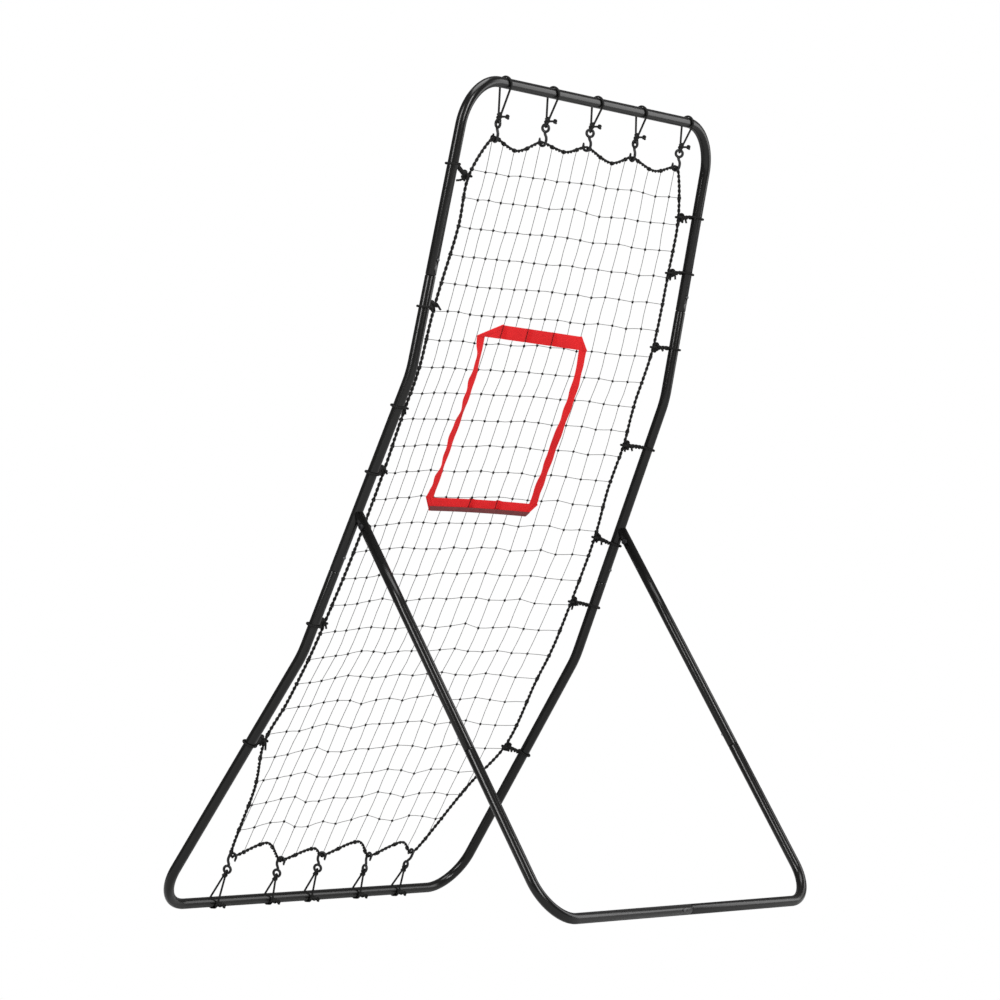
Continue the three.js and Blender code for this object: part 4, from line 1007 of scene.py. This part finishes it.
top_lines = [HookLine(ROPE_TOP[2 * i], bar_at(hoop_top, x), turn)
             for i, (x, turn) in enumerate(zip(TOP_BAR_PLACES, TOP_HOOK_TURNS))]
foot_lines = [HookLine(ROPE_BOTTOM[-1 - 2 * i], bar_at(hoop_foot, x), turn)
              for i, (x, turn) in enumerate(zip(FOOT_BAR_PLACES, FOOT_HOOK_TURNS))]
for group, lines in (("top", top_lines), ("foot", foot_lines)):
    for number, line in enumerate(lines, 1):
        axes = np.array((line.across, line.up, line.through))
        skin = (line.eye + hook_vertices @ axes, hook_faces, hook_marks)
        piece(f"{group}_hook_{number}_moulding", [skin], hook_plastic, "frame",
              [f"{group}_hook_{number}"])

# ---- elastic cords ----
# Each hook hangs on a length of nearly 4 mm braided elastic: once through its eye, up, round the
# bar and back, a little aslant, and knotted to itself with two short tails.
ELASTIC = 1.9
BAR_RING = TUBE + 0.3 + ELASTIC
GATHER_GAP = 2.5
LOOP_HALF = 1.6
LEAN_HALF = 1.8
EYE_KNOT, SPARE_KNOT, FOOT_KNOT, SECOND_KNOT, TAIL_KNOT = 3.7, 3.8, 4.2, 3.6, 3.4
PULLED_DEPTH = 1.5
BRAID_ROUND, BRAID_ALONG = 25.13, 2.4
BRAID_GROOVE_SHADE, BRAID_CROWN_TONE = (0.0035, 0.0035, 0.0035), (0.013, 0.013, 0.0125)

elastic_braid = Finish("elastic_cord", (0.008, 0.008, 0.008), 0.7, Specular_IOR_Level=0.15)
round_it, along_it = elastic_braid.uv()
one_way = (round_it * BRAID_ROUND + along_it * BRAID_ALONG).sin()
other_way = (round_it * BRAID_ROUND - along_it * BRAID_ALONG).sin()
braid = one_way * other_way * 0.5 + 0.5
# Painted shade: the colour follows the braid's bump and is darker in its grooves.
elastic_braid.set("Base Color", elastic_braid.mix(braid, BRAID_GROOVE_SHADE, BRAID_CROWN_TONE))
elastic_braid.bump(braid, 0.2)


def overhand_knot(centre, axis, cord, size, lean=0.0):
    """A pulled-tight overhand knot, its hole along an axis."""
    axis = unit(axis)
    side = turned_about(unit(np.cross(axis, (0.3, 0.5, 0.8))), axis, lean)
    line = trefoil(centre, side, np.cross(axis, side), axis, size / 3, PULLED_DEPTH, 49)
    return swept(line, cord, 10)


def elastic_cord(line, at_foot):
    """One elastic cord's skins: loop round the bar, turn through the eye, knots and tails."""
    reach = np.linalg.norm(line.bar - line.eye)
    out = unit(np.cross((1, 0, 0), line.up))
    gather = EYE_RING + HOOK_WIRE + GATHER_GAP
    lean = math.asin((BAR_RING - LEAN_HALF) / (reach - gather))
    into = line.eye + line.up * gather
    loop = [into + out * LOOP_HALF]
    for k in range(25):
        angle = -lean + (math.pi + 2 * lean) * k / 24
        aside = np.array((1.5 - k / 8, 0, 0))
        around = math.sin(angle) * line.up + math.cos(angle) * out
        loop.append(line.bar + BAR_RING * around + aside)
    loop.append(into - out * LOOP_HALF)
    loop = np.array(loop)
    loop[:, 2] = np.maximum(loop[:, 2], ELASTIC)
    skins = [swept(loop, ELASTIC, 12)]
    t = np.linspace(math.radians(195), math.radians(345), 15)[:, None]
    ring_top = line.eye + line.up * EYE_RING
    turn = ring_top + (HOOK_WIRE + ELASTIC) * (np.cos(t) * line.through + np.sin(t) * line.up)
    skins.append(swept(curve_through([into, *turn, into], per_span=3), ELASTIC, 12))
    skins.append(overhand_knot(into, line.up, ELASTIC, EYE_KNOT, 40))
    if at_foot:
        knot = line.bar + (0, TUBE * 0.8 + 3, -TUBE * 0.45)
        skins.append(overhand_knot(knot, (1, 0.3, 0), ELASTIC, FOOT_KNOT, 15))
        skins.append(overhand_knot(knot - (5, -1, 0.5), (0.2, 1, 0), ELASTIC, SECOND_KNOT, 60))
        tails = [(knot, (-0.75, 0.6, -0.25), 13), (knot, (0.85, 0.3, -0.2), 11)]
    else:
        skins.append(overhand_knot(into + line.up * 4, (0, 1, 0), ELASTIC, SPARE_KNOT, 70))
        tails = [(into, (-0.75, 0.6, 0.05), 16), (into, (-0.6, 0.2, 0.6), 6)]
    for number, (knot, way, length) in enumerate(tails):
        way = unit(np.array(way))
        end = knot + way * length
        bend = knot + way * length * 0.5 + (0, 0, 0.8)
        skins.append(swept(curve_through([knot, bend, end], per_span=8), ELASTIC, 12))
        if number == 0:
            skins.append(overhand_knot(end - way, way, ELASTIC * 0.9, TAIL_KNOT))
    return skins


for group, lines in (("top", top_lines), ("foot", foot_lines)):
    for number, line in enumerate(lines, 1):
        piece(f"{group}_elastic_{number}", elastic_cord(line, group == "foot"), elastic_braid,
              "frame", [f"{group}_bungee_{number}"])

# ---- side ties ----
# Laid cord of just over 4 mm: a ring round the rail, a short doubled run to the border rope and a
# turn round it, tied off in two knots beside the rope, with two short tails.
TIE = 2.2
TIE_GAP = 0.3
TIE_LAY = 9
TIE_OPEN = 0.3
TIE_TWIST = 15
TIE_KNOT, KNOTS_APART, KNOT_TO_ROPE = 5.2, 3.2, 7
TIE_TAILS = (13, 22)
TURN_SPREAD = 1.6
# Each tie's height in panels, on the rope and on the rail.
RIGHT_TIES = [(2.673, 2.704), (2.227, 2.223), (1.869, 1.881), (1.648, 1.647), (1.104, 1.107),
              (0.645, 0.651)]
LEFT_TIES = [(2.662, 2.669), (2.458, 2.466), (2.185, 2.189), (1.809, 1.815), (1.457, 1.446),
             (1.207, 1.205), (0.601, 0.59)]
tie_rng = random.Random(11)


def side_tie(side, heights):
    """One tie's skins: the loop round the rail, the turn round the rope, the knot and the tails."""
    rope_along, rail_along = (distance_up(height) for height in heights)
    centre, lengthwise = on_rail(side, rail_along)
    edge = rope_edge[np.sign(rope_edge[:, 0]) == side]
    flat = edge[np.argmin(abs(edge[:, 1] - rope_along))]
    rope = on_net(*flat)
    out, ball = np.array((side, 0.0, 0.0)), PANEL_FACES[panel_of(rail_along)]
    knot = rope + out * (ROPE + KNOT_TO_ROPE) + ball * 0.5
    towards = knot - centre
    towards = np.array((towards @ out, towards @ ball))
    aim = math.atan2(towards[1], towards[0])
    heading = out * math.cos(aim) + ball * math.sin(aim)
    ring = TUBE + TIE_GAP + TIE
    meet = centre + heading * (ring + TIE * 1.4)
    loop = []
    for k in range(33):
        angle = aim + TIE_OPEN + (2 * math.pi - 2 * TIE_OPEN) * k / 32
        spread = TIE * (1 - k / 16)
        loop.append(centre + out * ring * math.cos(angle) + ball * ring * math.sin(angle)
                    + lengthwise * spread)
    loop = [meet + lengthwise * TIE * 0.7, *loop, meet - lengthwise * TIE * 0.7]
    skins = laid(curve_through(loop, per_span=3), TIE, 3, TIE_LAY)
    if (knot - meet) @ heading * np.sign((knot - centre) @ heading) > TIE:
        skins += laid([knot, meet], TIE * 2, 2, TIE_TWIST)
    around = ROPE + TIE * 0.8
    turn = [rope + around * (math.cos(a) * out + math.sin(a) * ball)
            + lengthwise * TURN_SPREAD * (a / math.pi - 1)
            for a in np.linspace(0.5, 2 * math.pi - 0.5, 15)]
    skins += laid(curve_through([knot, *turn, knot], per_span=4), TIE, 3, TIE_LAY)
    for shift in (-KNOTS_APART, KNOTS_APART):
        place = knot + lengthwise * shift + ball * tie_rng.uniform(-1.5, 1.5)
        skins.append(overhand_knot(place, out, TIE, TIE_KNOT, tie_rng.uniform(0, 360)))
    for way in (1, -1):
        length = tie_rng.uniform(*TIE_TAILS)
        fall = np.array((0.25 * side + tie_rng.uniform(-0.5, 0.5), 0.5 * way,
                         -0.75 + 0.5 * tie_rng.random()))
        bend = knot + unit(fall + lengthwise * way * 0.6) * length * 0.5
        ends = [knot, bend, knot + unit(fall) * length]
        skins += laid(curve_through(ends, per_span=8), TIE * 0.95, 3, TIE_LAY)
    return skins


for group, side, spots in (("right", 1, RIGHT_TIES), ("left", -1, LEFT_TIES)):
    for number, heights in enumerate(spots, 1):
        piece(f"{group}_tie_{number}_cord", side_tie(side, heights), rope_fibre, "frame",
              [f"{group}_tie_{number}"])

# ---- pivots ----
# A 5 mm steel tab is welded to the back of each rail; the leg's slotted end closes over it and a
# black 6 mm bolt with a domed head and a lock nut runs through both.
PIVOT = {"tab": 7.0, "bolt": 3.0, "head": 5.5, "head height": 3.0, "nut": 5.8,
         "nut height": 4.5, "proud": 1.5}
TAB_THICKNESS = 5
TAB_EASE = 0.5
WELD_GAP = 0.25
KEY, KEY_LENGTH = 1.9, 3.2
NUT_COLLAR = 4.4


def plate(outline, thickness, ease, place, x_way, y_way):
    """A flat plate with eased edges, from an outline drawn anticlockwise in two directions."""
    outline = np.array(outline, float)
    before, after = np.roll(outline, 1, axis=0), np.roll(outline, -1, axis=0)
    ways = (after - before) / np.linalg.norm(after - before, axis=1)[:, None]
    inset = outline - ease * np.column_stack([ways[:, 1], -ways[:, 0]])
    z_way = np.cross(x_way, y_way)
    half = thickness / 2
    levels = [(inset, -half), (outline, -half + ease), (outline, half - ease), (inset, half)]
    vertices = np.vstack([place + flat[:, :1] * x_way + flat[:, 1:] * y_way + z * z_way
                          for flat, z in levels])
    count = len(outline)
    faces = [(k + i, k + (i + 1) % count, k + count + (i + 1) % count, k + count + i)
             for k in (0, count, 2 * count) for i in range(count)]
    faces += [tuple(range(count))[::-1], tuple(range(3 * count, 4 * count))]
    marks = [(0, 0)] * sum(len(face) for face in faces)
    return vertices, faces, marks


def turned_piece(centre, direction, profile, sides=40):
    """A round piece along a direction, from (distance, radius) pairs."""
    direction = unit(np.array(direction, float))
    stations = [centre + direction * distance for distance, _ in profile]
    return swept(stations, np.array([radius for _, radius in profile]), sides)


black_steel = Finish("black_hardware", (0.006, 0.006, 0.007), 0.4, Metallic=0.0,
                     Specular_IOR_Level=0.16)
black_steel.set("Roughness", black_steel.noise(300, 3) * 0.2 + 0.38)
black_steel.bump(black_steel.noise(900, 2), 0.03)

for name, side in SIDES.items():
    top, down = leg_line(side)
    pivot = top + down * PIVOT_REACH
    flat_down = unit(down * (0, 1, 1))
    flat_front = np.cross(flat_down, (1.0, 0, 0))
    half = PIVOT["tab"]
    round_end = [(half * math.sin(a), half * math.cos(a))
                 for a in np.linspace(-1.57, 1.57, 21)[::-1]]
    outline = round_end + [(-half, -PIVOT_REACH), (half, -PIVOT_REACH)]
    tab = plate(outline, TAB_THICKNESS, TAB_EASE, pivot, flat_front, flat_down)
    made = piece(f"{name}_pivot_tab_plate", [tab], powder_coat, "frame",
                 [f"{name}_pivot_tab"], smooth=35)
    rail_tool = rod_cutter("rail", *on_rail(side, LEG_AIM), TUBE + WELD_GAP, 8 * TUBE, COPE_SIDES)
    bore = rod_cutter("bolt hole", pivot, (1, 0, 0), BUTTON_HOLE, 4 * TUBE)
    cut(made, [rail_tool, bore])
    out = np.array((float(side), 0, 0))
    seat, head, bolt = TUBE + 0.3, PIVOT["head"], PIVOT["bolt"]
    dome = [(seat + PIVOT["head height"] * math.sin(a), head * math.cos(a) ** 0.7)
            for a in np.linspace(0.25, 1.5, 9)]
    end = seat + PIVOT["nut height"] + PIVOT["proud"]
    profile = [(-end, bolt - 0.7), (-end + 0.7, bolt), (seat - 0.02, bolt), (seat, head - 0.4),
               (seat + 0.4, head), *dome]
    made = piece(f"{name}_pivot_bolt_domed", [turned_piece(pivot, out, profile)], black_steel,
                 "leg", [f"{name}_pivot_bolt"], smooth=35)
    crown = pivot + out * (seat + PIVOT["head height"])
    cut(made, [rod_cutter("key", crown, out, KEY, KEY_LENGTH, 6)])
    nut, height = PIVOT["nut"], PIVOT["nut height"]
    top_of_nut = seat + height
    flats = swept([pivot - out * d for d in (seat, seat + 0.6, top_of_nut - 1.2, top_of_nut - 0.7)],
                  np.array((nut - 0.5, nut, nut, nut - 0.6)), 6, first=(0, 0, 1))
    collar = turned_piece(pivot, -out, [(top_of_nut - 0.59, NUT_COLLAR),
                                        (top_of_nut - 0.2, NUT_COLLAR), (top_of_nut, 4.0)])
    made = piece(f"{name}_lock_nut_hex", [flats, collar], black_steel, "leg",
                 [f"{name}_lock_nut"], smooth=30)
    cut(made, [rod_cutter("thread", pivot, out, BUTTON_HOLE, 6 * TUBE)])

# ---- snap buttons ----
# Zinc-plated domed pins on a spring leaf inside each push-together joint; they stand 2.5 mm proud
# of the outer tube. Those on the rails and on the foot bar take a darker copy of the zinc, which is
# painted shade.
BUTTON = 3.0
BUTTON_PROUD = 2.5
LEAF_DEPTH = 5.2
LEAF_SIZE = (7, 0.8, 34)
LEAF_EASE = 0.15
BUTTON_DOME = 1.5

bright_zinc = Finish("zinc", (0.62, 0.63, 0.64), 0.3, Metallic=1.0)
bright_zinc.set("Roughness", bright_zinc.noise(500, 3) * 0.2 + 0.2)
bright_zinc.bump(bright_zinc.noise(1500, 2), 0.02)

# A darker copy of the same zinc: painted shade.
zinc_painted_shade = Finish("zinc_painted_shade", (0.07, 0.07, 0.072), 0.5, Metallic=0.6)
zinc_painted_shade.set("Roughness", zinc_painted_shade.noise(500, 3) * 0.2 + 0.4)


def snap_button(node, joint, finish):
    """Domed pin and spring leaf, in place of a CAD button; each rides on its own body."""
    centre, out, along = joint
    shoulder = TUBE + BUTTON_PROUD - BUTTON_DOME
    dome = [(shoulder + BUTTON_DOME * math.sin(a), BUTTON * math.cos(a) ** 0.8)
            for a in np.linspace(0.0, 1.5, 9)]
    pin = turned_piece(centre, out, [(LEAF_DEPTH, BUTTON), *dome], 32)
    width, thickness, length = LEAF_SIZE
    w, l = width / 2, length / 2
    leaf = plate([(w, -l), (w, l), (-w, l), (-w, -l)], thickness, LEAF_EASE,
                 centre + out * LEAF_DEPTH, np.cross(along, out), along)
    piece(f"{node}_pin", [pin, leaf], finish, node, [node], smooth=40)


for name in SIDES:
    for height, joints in (("upper", upper_joints), ("lower", lower_joints), ("leg", LEG_JOINTS)):
        # Rail and foot-bar buttons get the darkened zinc, as painted shade.
        finish = bright_zinc if height == "leg" else zinc_painted_shade
        snap_button(f"{name}_{height}_button", joints[name], finish)
snap_button("leg_bar_button", BAR_JOINT, zinc_painted_shade)

# ---- floor, light and background ----
# A pale floor lights the part from below. The camera looks past it to a white backdrop, because
# the folded leg's bar swings lower than the floor. Two tall soft lights stand beside the camera's
# line, one hangs overhead and one stands on the far side.
FLOOR = 60
FLOOR_DROP = 0.0005
BACKDROP_LIGHT = 0.22
floor_mesh = bpy.data.meshes.new("floor")
corners = [(-FLOOR, -FLOOR, 0), (FLOOR, -FLOOR, 0), (FLOOR, FLOOR, 0), (-FLOOR, FLOOR, 0)]
floor_mesh.from_pydata(corners, [], [(0, 1, 2, 3)])
floor = bpy.data.objects.new("floor", floor_mesh)
floor.location.z = -FLOOR_DROP
scene.collection.objects.link(floor)
pale = Finish("pale_floor", (0.6, 0.6, 0.6), 0.95, Emission_Strength=0.12, Specular_IOR_Level=0.0)
floor_mesh.materials.append(pale.material)
floor.visible_camera = False

world = bpy.data.worlds.new("studio")
scene.world = world
world.use_nodes = True
nodes, links = world.node_tree.nodes, world.node_tree.links
dim, bright = nodes["Background"], nodes.new("ShaderNodeBackground")
for backdrop, strength in ((dim, BACKDROP_LIGHT), (bright, 1.0)):
    backdrop.inputs["Color"].default_value = (1, 1, 1, 1)
    backdrop.inputs["Strength"].default_value = strength
either = nodes.new("ShaderNodeMixShader")
links.new(nodes.new("ShaderNodeLightPath").outputs["Is Camera Ray"], either.inputs["Fac"])
links.new(dim.outputs[0], either.inputs[1])
links.new(bright.outputs[0], either.inputs[2])
links.new(either.outputs[0], nodes["World Output"].inputs["Surface"])
scene.view_settings.view_transform = "Standard"


def soft_light(name, bearing, distance, height, size, power, aim=0.75):
    """A soft rectangular light at a bearing from the camera's own, aimed at the part."""
    light = bpy.data.lights.new(name, "AREA")
    light.shape = "RECTANGLE"
    light.size, light.size_y = size
    light.energy = power
    made = bpy.data.objects.new(name, light)
    scene.collection.objects.link(made)
    around = math.radians(CAMERA_AZIMUTH + bearing)
    made.location = (math.sin(around) * distance, -math.cos(around) * distance, height)
    made.rotation_mode = "QUATERNION"
    made.rotation_quaternion = (Vector((0, 0, aim)) - made.location).to_track_quat("-Z", "Y")


soft_light("left_softbox", -38, 4.0, 2.4, (0.8, 2.8), 165)
soft_light("right_softbox", 34, 4.0, 2.4, (0.8, 2.8), 165)
soft_light("overhead_softbox", 30, 0.6, 3.4, (1.6, 1.6), 55)
soft_light("far_softbox", 107, 4.1, 1.9, (1.8, 3.4), 75, 1.4)
